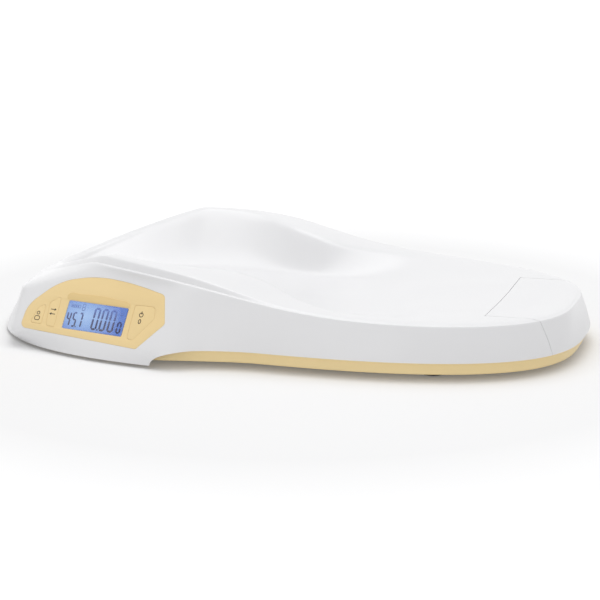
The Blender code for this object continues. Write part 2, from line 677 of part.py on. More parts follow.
def make_display():
    window = rounded_rectangle(WINDOW_WIDTH, WINDOW_HEIGHT, WINDOW_CORNER)
    holes = [plate_points(shares, GAP) for shares in key_outline_shares.values()]
    faceplate = face_plate_mesh("faceplate", [plate_points(plate_outline_shares), window, *holes],
                                -PLATE_THICKNESS, 0)
    part("faceplate", faceplate, YELLOW, FACE)
    lens = rounded_rectangle(WINDOW_WIDTH - 2 * GAP, WINDOW_HEIGHT - 2 * GAP, WINDOW_CORNER)
    part("display_lens", face_plate_mesh("display_lens", [lens], -LENS_THICKNESS, 0), CLEAR, FACE)
    half_x = WINDOW_WIDTH / 2 + GLASS_BORDER
    half_y = WINDOW_HEIGHT / 2 + GLASS_BORDER
    top = -PLATE_THICKNESS - GAP
    glass_low = top - GLASS_THICKNESS
    part("lcd_glass", boxes("lcd_glass", [((-half_x, -half_y, glass_low), (half_x, half_y, top))]), LCD_BLUE, FACE)
    light_top = glass_low - GAP
    light_low = DISPLAY_BOARD_TOP + GAP
    part("lcd_backlight", boxes("lcd_backlight", [((-half_x, -half_y, light_low), (half_x, half_y, light_top))]),
         DIFFUSER, FACE)
    board_top = DISPLAY_BOARD_TOP
    half_w, half_h = DISPLAY_BOARD_WIDTH / 2, DISPLAY_BOARD_HEIGHT / 2
    board = boxes("display_board", [((-half_w, -half_h, board_top - BOARD_THICKNESS), (half_w, half_h, board_top))])
    board_part = part("display_board", board, BOARD_GREEN, FACE)
    for number, place in enumerate(display_post_places()):
        hole = cylinders(f"display_board_hole_{number}", [(place, SCREW_RADIUS + GAP, board_top - 2 * BOARD_THICKNESS,
                                                           board_top + OVERRUN)], 12)
        combine(board_part, helper(f"display_board_hole_{number}", hole, FACE))
        board_low = board_top - BOARD_THICKNESS
        screw_mesh = cylinders(f"display_screw_{number + 1}", [(place, SCREW_HEAD_RADIUS, board_low - GAP - SCREW_HEAD,
                                                                board_low - GAP)], 16)
        screw = part(f"display_screw_{number + 1}", screw_mesh, STEEL, FACE)
        shank = cylinders("display_shank", [(place, SCREW_RADIUS, board_low - 2 * GAP, board_top + POST_HEIGHT / 2)], 12)
        combine(screw, helper(f"display_shank_{number + 1}", shank, FACE), "UNION")
    return board_top


def key_centre(shares):
    points = plate_points(shares)
    xs, ys = [p[0] for p in points], [p[1] for p in points]
    return (min(xs) + max(xs)) / 2, (min(ys) + max(ys)) / 2


def make_keys(board_top):
    """Three caps that pass through the faceplate, over domes on the display board."""
    mat_top = board_top + GAP + MAT_THICKNESS
    post_low = mat_top + DOME_HEIGHT + GAP + KEY_TRAVEL
    for key, shares in key_outline_shares.items():
        cap = part(key, face_plate_mesh(key, [plate_points(shares)], -PLATE_THICKNESS - WALL, 0), KEY_YELLOW, FACE)
        x, y = key_centre(shares)
        post = cylinders(f"{key}_post", [((x, y), DOME_RADIUS, post_low, -PLATE_THICKNESS)], 16)
        combine(cap, helper(f"{key}_post", post, FACE), "UNION")

    border = DOME_RADIUS + MAT_THICKNESS
    for mat_name, keys in (("key_mat_left", ("key_user", "key_unit")), ("key_mat_right", ("key_zero",))):
        places = [key_centre(key_outline_shares[key]) for key in keys]
        low_x, high_x = min(p[0] for p in places) - border, max(p[0] for p in places) + border
        low_y, high_y = min(p[1] for p in places) - border, max(p[1] for p in places) + border
        sheet = boxes(mat_name, [((low_x, low_y, board_top + GAP), (high_x, high_y, mat_top))])
        mat = part(mat_name, sheet, SILICONE, FACE)
        for key, place in zip(keys, places):
            dome = cylinders(f"{key}_dome", [(place, DOME_RADIUS, board_top + 2 * GAP, mat_top + DOME_HEIGHT)], 16)
            combine(mat, helper(f"{key}_dome", dome, FACE), "UNION")


PLATE_TOP = SLIDE_PLATE_HEIGHT + SLIDE_PLATE_THICKNESS
RUNNER_HALF = TONGUE_WIDTH / 2 - SLIDE_EDGE_INSET
GUIDE_INNER = RUNNER_HALF - GUIDE_LIP
GUIDE_OUTER = GUIDE_INNER + GUIDE_WIDTH
GROOVE_LOW, GROOVE_HIGH = SLIDE_PLATE_HEIGHT - GAP, PLATE_TOP + GAP
GUIDE_TOP = GROOVE_HIGH + GUIDE_ROOF
SLIDE_TAIL_X = TONGUE_X - SLIDE_TRAVEL - SLIDE_TAIL_OVERLAP
PINION_RADIUS = TOOTH_MODULE * PINION_TEETH / 2
PINION_X = TONGUE_X - PINION_INSET
RACK_TOP = SLIDE_PLATE_HEIGHT - GAP
RACK_LOW = RACK_TOP - RACK_THICKNESS
RACK_PITCH_Y = 0.0
PINION_Y = RACK_PITCH_Y + PINION_RADIUS


def make_foot_slide():
    """The end of the shell itself, with a web, side ribs and a plate under the tray."""
    slide = part("foot_slide", whole_shell_mesh("foot_slide"), WHITE, sharp=40)
    combine(slide, below_band_line("slide_belt_cutter", 0))
    combine(slide, tongue_block("tongue_body", 0, 0), "INTERSECT")
    rib_y = TONGUE_WIDTH / 2 - SLIDE_RIB_INSET
    under = FOOT_EDGE_HEIGHT - FLOOR_FOOT_DROP - FLOOR_DIP - WALL / 2
    rib_end = FOOT_X - GUIDE_END_INSET
    web_end = TONGUE_X + SLIDE_RIB_THICKNESS
    web = ((TONGUE_X, -TONGUE_WIDTH / 2, GUIDE_TOP + GAP), (web_end, TONGUE_WIDTH / 2, under))
    stem = ((TONGUE_X, GAP - GUIDE_INNER, SLIDE_PLATE_HEIGHT), (web_end, GUIDE_INNER - GAP, under - GAP))
    plate = ((SLIDE_TAIL_X, -RUNNER_HALF, SLIDE_PLATE_HEIGHT), (TONGUE_X + SLIDE_RIB_THICKNESS / 2, RUNNER_HALF, PLATE_TOP))
    combine(slide, helper("slide_web", boxes("slide_web", [web])), "UNION")
    combine(slide, helper("slide_stem", boxes("slide_stem", [stem])), "UNION")
    combine(slide, helper("slide_plate", boxes("slide_plate", [plate])), "UNION")
    for side in (-1, 1):
        inner, outer = side * (rib_y - SLIDE_RIB_THICKNESS), side * rib_y
        rib = ((TONGUE_X + SLIDE_RIB_THICKNESS / 2, min(inner, outer), SLIDE_PLATE_HEIGHT),
               (rib_end, max(inner, outer), under))
        name = f"slide_rib_{'front' if side < 0 else 'back'}"
        combine(slide, helper(name, boxes(name, [rib])), "UNION")
    return slide


def make_slide_guides():
    """Two C-shaped rails standing on the base floor, one along each edge of the plate."""
    floor = BASE_HEIGHT + BASE_FLOOR + GAP
    inner, web = GUIDE_INNER, RUNNER_HALF + GAP
    outer = GUIDE_OUTER
    outline = [(inner, floor), (outer, floor), (outer, GUIDE_TOP), (inner, GUIDE_TOP), (inner, GROOVE_HIGH),
               (web, GROOVE_HIGH), (web, GROOVE_LOW), (inner, GROOVE_LOW)]
    start, end = SLIDE_TAIL_X + GAP, FOOT_X - GUIDE_END_INSET
    for side, name in ((-1, "slide_guide_front"), (1, "slide_guide_back")):
        points = [(side * y, z) for y, z in outline]
        profile = flat_outline(name, [polygon(points)], start, end)
        stand = Matrix(((0, 0, 1, 0), (1, 0, 0, 0), (0, 1, 0, 0), (0, 0, 0, 1)))
        profile.transform(stand)
        part(name, profile, NATURAL)


def rack_outline(start, end):
    """Straight-sided teeth along +X, one of them centred on the pinion."""
    pitch = math.pi * TOOTH_MODULE
    slope = math.tan(math.radians(20))
    addendum = TOOTH_MODULE * RACK_ADDENDUM_SHARE
    dedendum = TOOTH_MODULE * DEDENDUM_SHARE
    thick = pitch / 2 - TOOTH_BACKLASH
    first = math.ceil((start - PINION_X) / pitch + 0.5)
    last = math.floor((end - PINION_X) / pitch - 0.5)
    points = []
    for tooth in range(first, last + 1):
        middle = PINION_X + tooth * pitch
        for offset, height in ((-thick / 2 - dedendum * slope, -dedendum), (-thick / 2 + addendum * slope, addendum),
                               (thick / 2 - addendum * slope, addendum), (thick / 2 + dedendum * slope, -dedendum)):
            points.append((middle + offset, RACK_PITCH_Y + height))
    back = RACK_PITCH_Y - RACK_WIDTH
    return [(start, -dedendum + RACK_PITCH_Y), *points, (end, RACK_PITCH_Y - dedendum), (end, back), (start, back)]


def pinion_outline():
    """Involute teeth with a space facing the rack at rest."""
    base = PINION_RADIUS * math.cos(math.radians(20))
    tip = PINION_RADIUS + TOOTH_MODULE * PINION_ADDENDUM_SHARE
    root = PINION_RADIUS - TOOTH_MODULE * DEDENDUM_SHARE

    def involute(radius):
        angle = math.acos(min(1, base / radius))
        return math.tan(angle) - angle
    half = math.pi / (2 * PINION_TEETH) - TOOTH_BACKLASH / (2 * PINION_RADIUS) + involute(PINION_RADIUS)
    radii = (root, base, PINION_RADIUS, tip)
    flank = [(radius, half - involute(max(radius, base))) for radius in radii]
    points = []
    for tooth in range(PINION_TEETH):
        middle = -math.pi / 2 + (tooth + 0.5) * 2 * math.pi / PINION_TEETH
        for radius, angle in [(r, -a) for r, a in flank] + flank[::-1]:
            points.append((radius * math.cos(middle + angle), radius * math.sin(middle + angle)))
    return points


def make_length_drive():
    """Rack under the slide, pinion on an upright shaft, and the sensor that it turns."""
    rack = flat_outline("slide_rack", [polygon(rack_outline(SLIDE_TAIL_X + RACK_END_MARGIN, TONGUE_X - GAP))],
                        RACK_LOW, RACK_TOP)
    part("slide_rack", rack, NATURAL, sharp=20)
    floor = BASE_HEIGHT + BASE_FLOOR
    board_top = floor + GAP + BOARD_THICKNESS
    sensor_low, sensor_top = board_top + GAP, RACK_LOW - 2 * GAP
    gear_top = RACK_TOP - GAP
    pinion = part("length_pinion", flat_outline("length_pinion", [polygon(pinion_outline())], RACK_LOW, gear_top),
                  NATURAL, Matrix.Translation((PINION_X, PINION_Y, 0)), sharp=20)
    shaft = cylinders("pinion_shaft", [((0, 0), SHAFT_RADIUS, sensor_low + 2 * GAP, RACK_LOW + GAP)], 20)
    combine(pinion, helper("pinion_shaft", shaft, Matrix.Translation((PINION_X, PINION_Y, 0))), "UNION")
    centre = (PINION_X, PINION_Y)
    sensor = part("length_sensor", cylinders("length_sensor", [(centre, SENSOR_RADIUS, sensor_low, sensor_top)]), BLACK)
    bore = cylinders("sensor_bore", [(centre, SHAFT_RADIUS + GAP / 3, sensor_low + GAP, sensor_top + OVERRUN)], 20)
    combine(sensor, helper("sensor_bore", bore))
    half = SENSOR_BOARD_SIZE / 2
    board = boxes("sensor_board", [((PINION_X - half, PINION_Y - half, floor + GAP),
                                    (PINION_X + half, PINION_Y + half, board_top))])
    part("sensor_board", board, BOARD_GREEN)


def share_at(turn, height):
    edge = edge_ring(turn)[2]
    return (edge - height) / (edge - HEM_HEIGHT)


def base_ring(height, inset, tuck=0.0):
    """The wall's outline at one height, stepped in; below the belt it follows the belt's outline."""
    turn = np.arange(RING_COUNT) * 2 * math.pi / RING_COUNT
    skirted = along(BAND_RISE_START_SHARE, BAND_RISE_START_SHARE + BAND_RISE_LENGTH / LENGTH, edge_ring(turn)[0])
    shares = share_at(turn, height + tuck * skirted)
    step = inset + (BAND_FOOT_INSET - BAND_INSET) * skirted * (tuck > 0)
    x, y = np.empty(RING_COUNT), np.empty(RING_COUNT)
    for index in range(RING_COUNT):
        wall = wall_ring(turn[index:index + 1], float(shares[index]), float(step[index]))
        x[index], y[index] = wall[0][0], wall[1][0]
    return points_of((x, y, np.full(RING_COUNT, height)))


def foot_places():
    boss = FOOT_RADIUS + GAP + BOSS_WALL
    ends = (("head", FOOT_HEAD_SHARE, HEAD_WIDTH / 2 - FOOT_HEAD_MARGIN),
            ("tail", FOOT_TAIL_SHARE, GUIDE_OUTER + FOOT_GUIDE_CLEARANCE + boss))
    for end, share, spread in ends:
        for side, sign in (("front", -1), ("back", 1)):
            yield f"{end}_{side}", (share * LENGTH, sign * spread)


DISPLAY_BOARD_TOP = -PLATE_THICKNESS - 3 * GAP - GLASS_THICKNESS - BACKLIGHT_THICKNESS
DISPLAY_DEPTH = BOARD_THICKNESS + SCREW_HEAD + DISPLAY_CLEARANCE - DISPLAY_BOARD_TOP
BAY_X = BAY_PLACE_SHARE * LENGTH
BAY_HALF_X = 4 * CELL_RADIUS + 3 * GAP
BAY_HALF_Y = CELL_LENGTH / 2 + CELL_NIPPLE + 3 * CONTACT_THICKNESS + GAP
BASE_TOP = BASE_HEIGHT + BASE_FLOOR
CUP_TOP = PAD_THICKNESS + CUP_HEIGHT
CELL_TOP = CUP_TOP + GAP + CELL_THICKNESS
BOSS_TOP = CELL_TOP


def screw_places():
    """Case screws: three pairs along the sides, inside the base wall."""
    rows = (("head", CASE_HEAD_SHARE, TRAY_WIDTH / 2 - CASE_HEAD_MARGIN),
            ("middle", CASE_MIDDLE_SHARE, TAIL_WIDTH / 2 - CASE_SIDE_MARGIN),
            ("tail", CASE_TAIL_SHARE, GUIDE_OUTER + CASE_GUIDE_CLEARANCE))
    for row, share, spread in rows:
        for side, sign in (("front", -1), ("back", 1)):
            yield f"{row}_{side}", (share * LENGTH, sign * spread)


def post_places():
    for sign_x in (-1, 1):
        for sign_y in (-1, 1):
            yield (MAIN_BOARD_SHARE * LENGTH + sign_x * (MAIN_BOARD_LENGTH / 2 - POST_RADIUS),
                   sign_y * (MAIN_BOARD_WIDTH / 2 - POST_RADIUS))


def make_base_shell():
    """Yellow base: a tray whose wall shows below the belt, with a lip inside the white wall."""
    lip_top = BELT_HEIGHT + LIP_HEIGHT

    tuck = BELT_HEIGHT - BASE_HEIGHT

    def tray(bm):
        outer = [base_ring(lip_top, LIP_INSET), base_ring(BELT_HEIGHT, BAND_INSET),
                 base_ring(BASE_HEIGHT + BASE_EDGE, BAND_INSET, tuck), base_ring(BASE_HEIGHT, BAND_INSET + BASE_EDGE, tuck)]
        inner = [base_ring(lip_top, LIP_INSET + WALL), base_ring(BELT_HEIGHT, BAND_INSET + WALL),
                 base_ring(BASE_TOP, BAND_INSET + WALL, tuck)]
        outer_rows = loft(bm, outer)
        inner_rows = loft(bm, inner)
        for index, vertex in enumerate(outer_rows[0]):
            after = (index + 1) % RING_COUNT
            bm.faces.new((vertex, outer_rows[0][after], inner_rows[0][after], inner_rows[0][index]))

    base = part("base_shell", mesh_from(tray, "base_shell"), YELLOW, sharp=40)
    way = ((TONGUE_X, RACK_PITCH_Y - RACK_WIDTH - RACK_CLEARANCE, RACK_LOW - RACK_CLEARANCE),
           (FOOT_X + OVERRUN, RACK_PITCH_Y + TOOTH_MODULE + RACK_CLEARANCE, lip_top + OVERRUN))
    combine(base, helper("rack_way", boxes("rack_way", [way])))
    reach = DISPLAY_BOARD_WIDTH / 2 + DISPLAY_CLEARANCE
    low = -DISPLAY_BOARD_HEIGHT / 2 - DISPLAY_CLEARANCE
    room = boxes("display_room", [((-reach, low, -DISPLAY_DEPTH), (reach, DISPLAY_BOARD_HEIGHT, OVERRUN))])
    combine(base, helper("display_room", room, FACE))
    wall_room = boxes("wall_room", [((-FACE_FLAT_HEAD, -FACE_HEIGHT * ROOM_SHARE, -2 * WALL),
                                     (FACE_FLAT_HEAD, 0, FACE_HEIGHT))])
    combine(base, helper("wall_room", wall_room, FACE))
    for name, centre in foot_places():
        boss = cylinders(f"boss_{name}", [(centre, FOOT_RADIUS + GAP + BOSS_WALL, BASE_HEIGHT + BASE_FLOOR / 2, BOSS_TOP)])
        combine(base, helper(f"boss_{name}", boss), "UNION")
        hole = cylinders(f"foot_hole_{name}", [(centre, FOOT_RADIUS + GAP, -OVERRUN, BOSS_TOP + OVERRUN)])
        combine(base, helper(f"foot_hole_{name}", hole))
    posts = [(centre, POST_RADIUS, BASE_HEIGHT + BASE_FLOOR / 2, BASE_TOP + POST_HEIGHT) for centre in post_places()]
    for number, post in enumerate(posts):
        combine(base, helper(f"board_post_{number}", cylinders("board_post", [post], 12)), "UNION")
    bores = [(centre, SCREW_RADIUS + GAP / 3, BASE_TOP - GAP, BASE_TOP + 2 * POST_HEIGHT) for centre in list(post_places())[::3]]
    for number, bore in enumerate(bores):
        combine(base, helper(f"post_bore_{number}", cylinders("post_bore", [bore], 12)))
    half_x, half_y = BAY_HALF_X, BAY_HALF_Y
    opening = ((BAY_X - half_x, -half_y, -OVERRUN), (BAY_X + half_x, half_y, BASE_TOP + OVERRUN))
    combine(base, helper("bay_opening", boxes("bay_opening", [opening])))
    seat = ((BAY_X - half_x - DOOR_LIP, -half_y - DOOR_LIP, -OVERRUN),
            (BAY_X + half_x + DOOR_LIP, half_y + DOOR_LIP, BASE_HEIGHT + BASE_FLOOR / 2))
    combine(base, helper("door_seat", boxes("door_seat", [seat])))
    return base


def make_feet():
    """At each corner: rubber pad, foot cup, load cell above it, and its retainer."""
    def pad_mesh(name, centre):
        return cylinders(name, [(centre, PAD_RADIUS, 0, PAD_THICKNESS)])

    for name, centre in foot_places():
        part(f"foot_pad_{name}", pad_mesh(f"foot_pad_{name}", centre), RUBBER)
        cup_low = PAD_THICKNESS - PAD_SEAT + GAP
        cup = part(f"foot_cup_{name}", cylinders(f"foot_cup_{name}", [(centre, FOOT_RADIUS, cup_low, CUP_TOP)]), CUP_GREY)
        seat = cylinders(f"pad_seat_{name}", [(centre, PAD_RADIUS + GAP, -OVERRUN, PAD_THICKNESS + GAP)])
        combine(cup, helper(f"pad_seat_{name}", seat))
        hollow = cylinders(f"cup_hollow_{name}", [(centre, FOOT_RADIUS - BOSS_WALL, CUP_TOP - 2 * BOSS_WALL, CUP_TOP + OVERRUN)])
        combine(cup, helper(f"cup_hollow_{name}", hollow))
        cell_low = CUP_TOP + GAP
        cell = part(f"load_cell_{name}", cylinders(f"load_cell_{name}", [(centre, FOOT_RADIUS, cell_low, CELL_TOP)]), STEEL)
        x, y = centre
        reach, slot = FOOT_RADIUS / 2, CELL_SLOT
        slots = [((x - reach, y - reach, cell_low - OVERRUN), (x + reach, y - reach + slot, CELL_TOP + OVERRUN)),
                 ((x - reach, y - reach + slot / 2, cell_low - OVERRUN), (x - reach + slot, y + reach, CELL_TOP + OVERRUN)),
                 ((x + reach - slot, y - reach + slot / 2, cell_low - OVERRUN), (x + reach, y + reach, CELL_TOP + OVERRUN))]
        for number, corners in enumerate(slots):
            combine(cell, helper(f"cell_slot_{name}_{number}", boxes("slot", [corners])))
        retainer_low = CELL_TOP + GAP
        ring = cylinders(f"cell_retainer_{name}", [(centre, FOOT_RADIUS + GAP + BOSS_WALL, retainer_low,
                                                    retainer_low + RETAINER_THICKNESS)])
        retainer = part(f"cell_retainer_{name}", ring, NATURAL)
        eye = cylinders(f"retainer_eye_{name}", [(centre, reach + slot, retainer_low - OVERRUN,
                                                  retainer_low + OVERRUN)])
        combine(retainer, helper(f"retainer_eye_{name}", eye))


def make_battery_bay():
    """Box over the cells, four cells, their contacts, and the door below."""
    low = BASE_TOP + GAP
    cell_z = BASE_TOP + DOOR_RIB + GAP + CELL_RADIUS
    top = cell_z + CELL_RADIUS + GAP
    half_x, half_y = BAY_HALF_X, BAY_HALF_Y
    outer = ((BAY_X - half_x - BAY_WALL, -half_y - BAY_WALL, low), (BAY_X + half_x + BAY_WALL, half_y + BAY_WALL, top + BAY_WALL))
    box = part("battery_box", boxes("battery_box", [outer]), YELLOW)
    inner = ((BAY_X - half_x, -half_y, low - OVERRUN), (BAY_X + half_x, half_y, top))
    combine(box, helper("battery_box_hollow", boxes("battery_box_hollow", [inner])))

    places = [BAY_X + (index - 1.5) * (2 * CELL_RADIUS + GAP * 2) for index in range(4)]
    for index, x in enumerate(places):
        flip = 1 if index % 2 else -1
        ends = sorted((flip * (CELL_LENGTH / 2 - CELL_NIPPLE), flip * (CELL_LENGTH / 2 + CELL_NIPPLE)))
        cell = part(f"battery_{index + 1}", lying_cylinder("battery", x, cell_z, CELL_RADIUS, -CELL_LENGTH / 2,
                                                           CELL_LENGTH / 2, 20), BATTERY_SLEEVE)
        tip = lying_cylinder("battery_tip", x, cell_z, CELL_RADIUS / 3, *ends, 12)
        combine(cell, helper(f"battery_tip_{index + 1}", tip), "UNION")

    reach = CELL_RADIUS * CONTACT_SHARE
    pairs = {"contact_front_1": (-1, 0, 1), "contact_front_2": (-1, 2, 3), "contact_back_1": (1, 0, 0),
             "contact_back_2": (1, 1, 2), "contact_back_3": (1, 3, 3)}
    for name, (side, first, last) in pairs.items():
        faces = sorted((side * (half_y - GAP), side * (half_y - GAP - CONTACT_THICKNESS)))
        plate = ((places[first] - reach, faces[0], cell_z - reach), (places[last] + reach, faces[1], cell_z + reach))
        part(name, boxes(name, [plate]), NICKEL)

    door_x, door_y = half_x + DOOR_LIP - GAP, half_y + DOOR_LIP - GAP
    seat = BASE_HEIGHT + BASE_FLOOR / 2
    rib_x, rib_y = half_x - GAP, half_y - GAP
    door = part("battery_door", boxes("battery_door", [((BAY_X - door_x, -door_y, BASE_HEIGHT),
                                                        (BAY_X + door_x, door_y, seat - GAP))]), YELLOW)
    rib = boxes("door_rib", [((BAY_X - rib_x, -rib_y, seat - 2 * GAP), (BAY_X + rib_x, rib_y, BASE_TOP))])
    combine(door, helper("door_rib", rib), "UNION")


def make_case_screws(base):
    for name, centre in screw_places():
        head = cylinders(f"case_screw_{name}", [(centre, SCREW_HEAD_RADIUS, BASE_HEIGHT, BASE_HEIGHT + SCREW_HEAD)], 16)
        screw = part(f"case_screw_{name}", head, STEEL)
        shank = cylinders("case_shank", [(centre, SCREW_RADIUS, BASE_HEIGHT + GAP, BASE_HEIGHT + SCREW_LENGTH)], 12)
        combine(screw, helper(f"case_shank_{name}", shank), "UNION")
        bore = cylinders("screw_bore", [(centre, SCREW_RADIUS + GAP, -OVERRUN, BASE_TOP + OVERRUN)], 12)
        combine(base, helper(f"screw_bore_{name}", bore))
        sink = cylinders("screw_sink", [(centre, SCREW_HEAD_RADIUS + GAP, -OVERRUN, BASE_HEIGHT + SCREW_HEAD + GAP)], 16)
        combine(base, helper(f"screw_sink_{name}", sink))


def make_main_board():
    low = BASE_TOP + POST_HEIGHT + GAP
    centre_x = MAIN_BOARD_SHARE * LENGTH
    half_x, half_y = MAIN_BOARD_LENGTH / 2, MAIN_BOARD_WIDTH / 2
    board = boxes("main_board", [((centre_x - half_x, -half_y, low), (centre_x + half_x, half_y, low + BOARD_THICKNESS))])
    board_part = part("main_board", board, BOARD_GREEN)
    chip = MAIN_BOARD_LENGTH / 6
    chips = boxes("main_chips", [((centre_x - chip, -chip, low + BOARD_THICKNESS / 2),
                                  (centre_x + chip, chip, low + 2 * BOARD_THICKNESS))])
    combine(board_part, helper("main_chips", chips), "UNION")
    for number, place in enumerate(list(post_places())[::3]):
        hole = cylinders("board_hole", [(place, SCREW_RADIUS + GAP, low - OVERRUN, low + OVERRUN)], 12)
        combine(board_part, helper(f"board_hole_{number}", hole))
        top = low + BOARD_THICKNESS + GAP
        head = cylinders(f"board_screw_{number + 1}", [(place, SCREW_HEAD_RADIUS, top, top + SCREW_HEAD)], 16)
        screw = part(f"board_screw_{number + 1}", head, STEEL)
        shank = cylinders("board_shank", [(place, SCREW_RADIUS, BASE_TOP + GAP, top + GAP)], 12)
        combine(screw, helper(f"board_shank_{number}", shank), "UNION")


def make_all():
    shell = make_top_shell()
    make_pillars(shell)
    make_keys(make_display())
    make_foot_slide()
    make_slide_guides()
    make_length_drive()
    base = make_base_shell()
    make_case_screws(base)
    make_feet()
    make_battery_bay()
    make_main_board()
    bpy.context.view_layer.update()


make_all()
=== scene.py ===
"""The look of the digital baby weighing scale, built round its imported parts. Metres, +Z up."""
import json
import math

import bpy
import numpy as np
from mathutils import Matrix, Vector


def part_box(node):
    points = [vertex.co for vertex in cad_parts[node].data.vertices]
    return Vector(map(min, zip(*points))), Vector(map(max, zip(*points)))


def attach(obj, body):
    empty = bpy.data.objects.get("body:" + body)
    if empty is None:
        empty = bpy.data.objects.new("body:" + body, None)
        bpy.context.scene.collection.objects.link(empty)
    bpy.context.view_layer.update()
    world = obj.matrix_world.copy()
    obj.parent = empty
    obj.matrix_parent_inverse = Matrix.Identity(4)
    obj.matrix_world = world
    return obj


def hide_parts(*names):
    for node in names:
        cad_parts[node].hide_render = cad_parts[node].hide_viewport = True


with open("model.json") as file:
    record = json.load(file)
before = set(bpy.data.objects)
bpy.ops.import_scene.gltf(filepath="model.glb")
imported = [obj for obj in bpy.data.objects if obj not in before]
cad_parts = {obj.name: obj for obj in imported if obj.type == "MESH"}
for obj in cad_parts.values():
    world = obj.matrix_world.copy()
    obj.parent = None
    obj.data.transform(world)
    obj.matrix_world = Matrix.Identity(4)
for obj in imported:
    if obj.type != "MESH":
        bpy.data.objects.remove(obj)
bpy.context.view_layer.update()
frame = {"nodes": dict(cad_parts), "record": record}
MM = 0.001

# The photographer's view: a 100 mm lens that stands off the display side, towards the
# foot end and some fifteen degrees above the table, aimed at the middle of the scale.
VIEW_TURN, VIEW_DROP = math.radians(19.3), math.radians(14.6)
VIEW_DISTANCE = 1.587
VIEW_AIM = Vector((0.0183, -0.043, 0.0391))
LENS, SENSOR = 100, 36

sight = Vector((-math.sin(VIEW_TURN) * math.cos(VIEW_DROP),
                math.cos(VIEW_TURN) * math.cos(VIEW_DROP), -math.sin(VIEW_DROP)))
bpy.ops.object.camera_add(location=VIEW_AIM - sight * VIEW_DISTANCE)
camera = bpy.context.object
camera.name = "camera"
camera.rotation_euler = sight.to_track_quat("-Z", "Y").to_euler()
camera.data.lens = LENS
camera.data.sensor_width = SENSOR
bpy.context.scene.camera = camera
bpy.context.scene.view_settings.view_transform = "Standard"


# The studio: a white sweep under a big overhead softbox, with a weaker one in front
# and one at the left. The sweep is lifted to white for the camera alone.
def softbox(name, place, aim, width, depth, power):
    bpy.ops.object.light_add(type="AREA", location=place)
    box = bpy.context.object
    box.name = name
    box.data.shape = "RECTANGLE"
    box.data.size, box.data.size_y = width, depth
    box.data.energy = power
    box.rotation_euler = (Vector(aim) - Vector(place)).to_track_quat("-Z", "Y").to_euler()
    return box


softbox("overhead_softbox", (0.05, 0.10, 1.60), (0.0, 0.02, 0.0), 1.8, 1.4, 14.6)
softbox("front_softbox", (-0.3, -2.1, 0.55), (0.0, 0.0, 0.05), 1.5, 0.9, 3.3)
softbox("left_softbox", (-1.7, -0.7, 0.8), (-0.1, 0.0, 0.05), 1.0, 1.0, 0.3)


def seen_directly(nodes, links):
    """1 where the camera, a reflection or a clear piece looks, and 0 for light that falls on things."""
    path = nodes.new("ShaderNodeLightPath")
    either = nodes.new("ShaderNodeMath")
    either.operation = "MAXIMUM"
    links.new(path.outputs["Is Camera Ray"], either.inputs[0])
    links.new(path.outputs["Is Glossy Ray"], either.inputs[1])
    clear = nodes.new("ShaderNodeMath")
    clear.operation = "MAXIMUM"
    links.new(either.outputs[0], clear.inputs[0])
    links.new(path.outputs["Is Transmission Ray"], clear.inputs[1])
    return clear.outputs[0]


def make_world():
    world = bpy.data.worlds.new("studio_white")
    bpy.context.scene.world = world
    world.use_nodes = True
    nodes, links = world.node_tree.nodes, world.node_tree.links
    nodes.clear()
    fill = nodes.new("ShaderNodeBackground")
    fill.inputs["Color"].default_value = (0.99, 0.99, 1.0, 1)
    fill.inputs["Strength"].default_value = 0.60
    shown = nodes.new("ShaderNodeBackground")
    shown.inputs["Color"].default_value = (1, 1, 1, 1)
    shown.inputs["Strength"].default_value = 1.0
    mix = nodes.new("ShaderNodeMixShader")
    links.new(seen_directly(nodes, links), mix.inputs["Fac"])
    links.new(fill.outputs[0], mix.inputs[1])
    links.new(shown.outputs[0], mix.inputs[2])
    out = nodes.new("ShaderNodeOutputWorld")
    links.new(mix.outputs[0], out.inputs["Surface"])


SWEEP_SIZE = 14
SWEEP_NEAR, SWEEP_FAR = 0.38, 1.3
SWEEP_LIFT_NEAR, SWEEP_LIFT_FAR = 0.12, 1.0


def make_sweep():
    bpy.ops.mesh.primitive_plane_add(size=SWEEP_SIZE)
    sweep = bpy.context.object
    sweep.name = "studio_sweep"
    paint = bpy.data.materials.new("white_sweep")
    paint.use_nodes = True
    nodes, links = paint.node_tree.nodes, paint.node_tree.links
    nodes.clear()
    board = nodes.new("ShaderNodeBsdfDiffuse")
    board.inputs["Color"].default_value = (0.80, 0.80, 0.80, 1)
    lift = nodes.new("ShaderNodeEmission")
    lift.inputs["Color"].default_value = (1, 1, 1, 1)
    place = nodes.new("ShaderNodeTexCoord")
    away = nodes.new("ShaderNodeVectorMath")
    away.operation = "LENGTH"
    links.new(place.outputs["Object"], away.inputs[0])
    whiter = nodes.new("ShaderNodeMapRange")
    whiter.inputs["From Min"].default_value = SWEEP_NEAR
    whiter.inputs["From Max"].default_value = SWEEP_FAR
    whiter.inputs["To Min"].default_value = SWEEP_LIFT_NEAR
    whiter.inputs["To Max"].default_value = SWEEP_LIFT_FAR
    links.new(away.outputs["Value"], whiter.inputs["Value"])
    strength = nodes.new("ShaderNodeMath")
    strength.operation = "MULTIPLY"
    links.new(whiter.outputs["Result"], strength.inputs[1])
    links.new(seen_directly(nodes, links), strength.inputs[0])
    links.new(strength.outputs[0], lift.inputs["Strength"])
    both = nodes.new("ShaderNodeAddShader")
    links.new(board.outputs[0], both.inputs[0])
    links.new(lift.outputs[0], both.inputs[1])
    out = nodes.new("ShaderNodeOutputMaterial")
    links.new(both.outputs[0], out.inputs["Surface"])
    sweep.data.materials.append(paint)


make_world()
make_sweep()


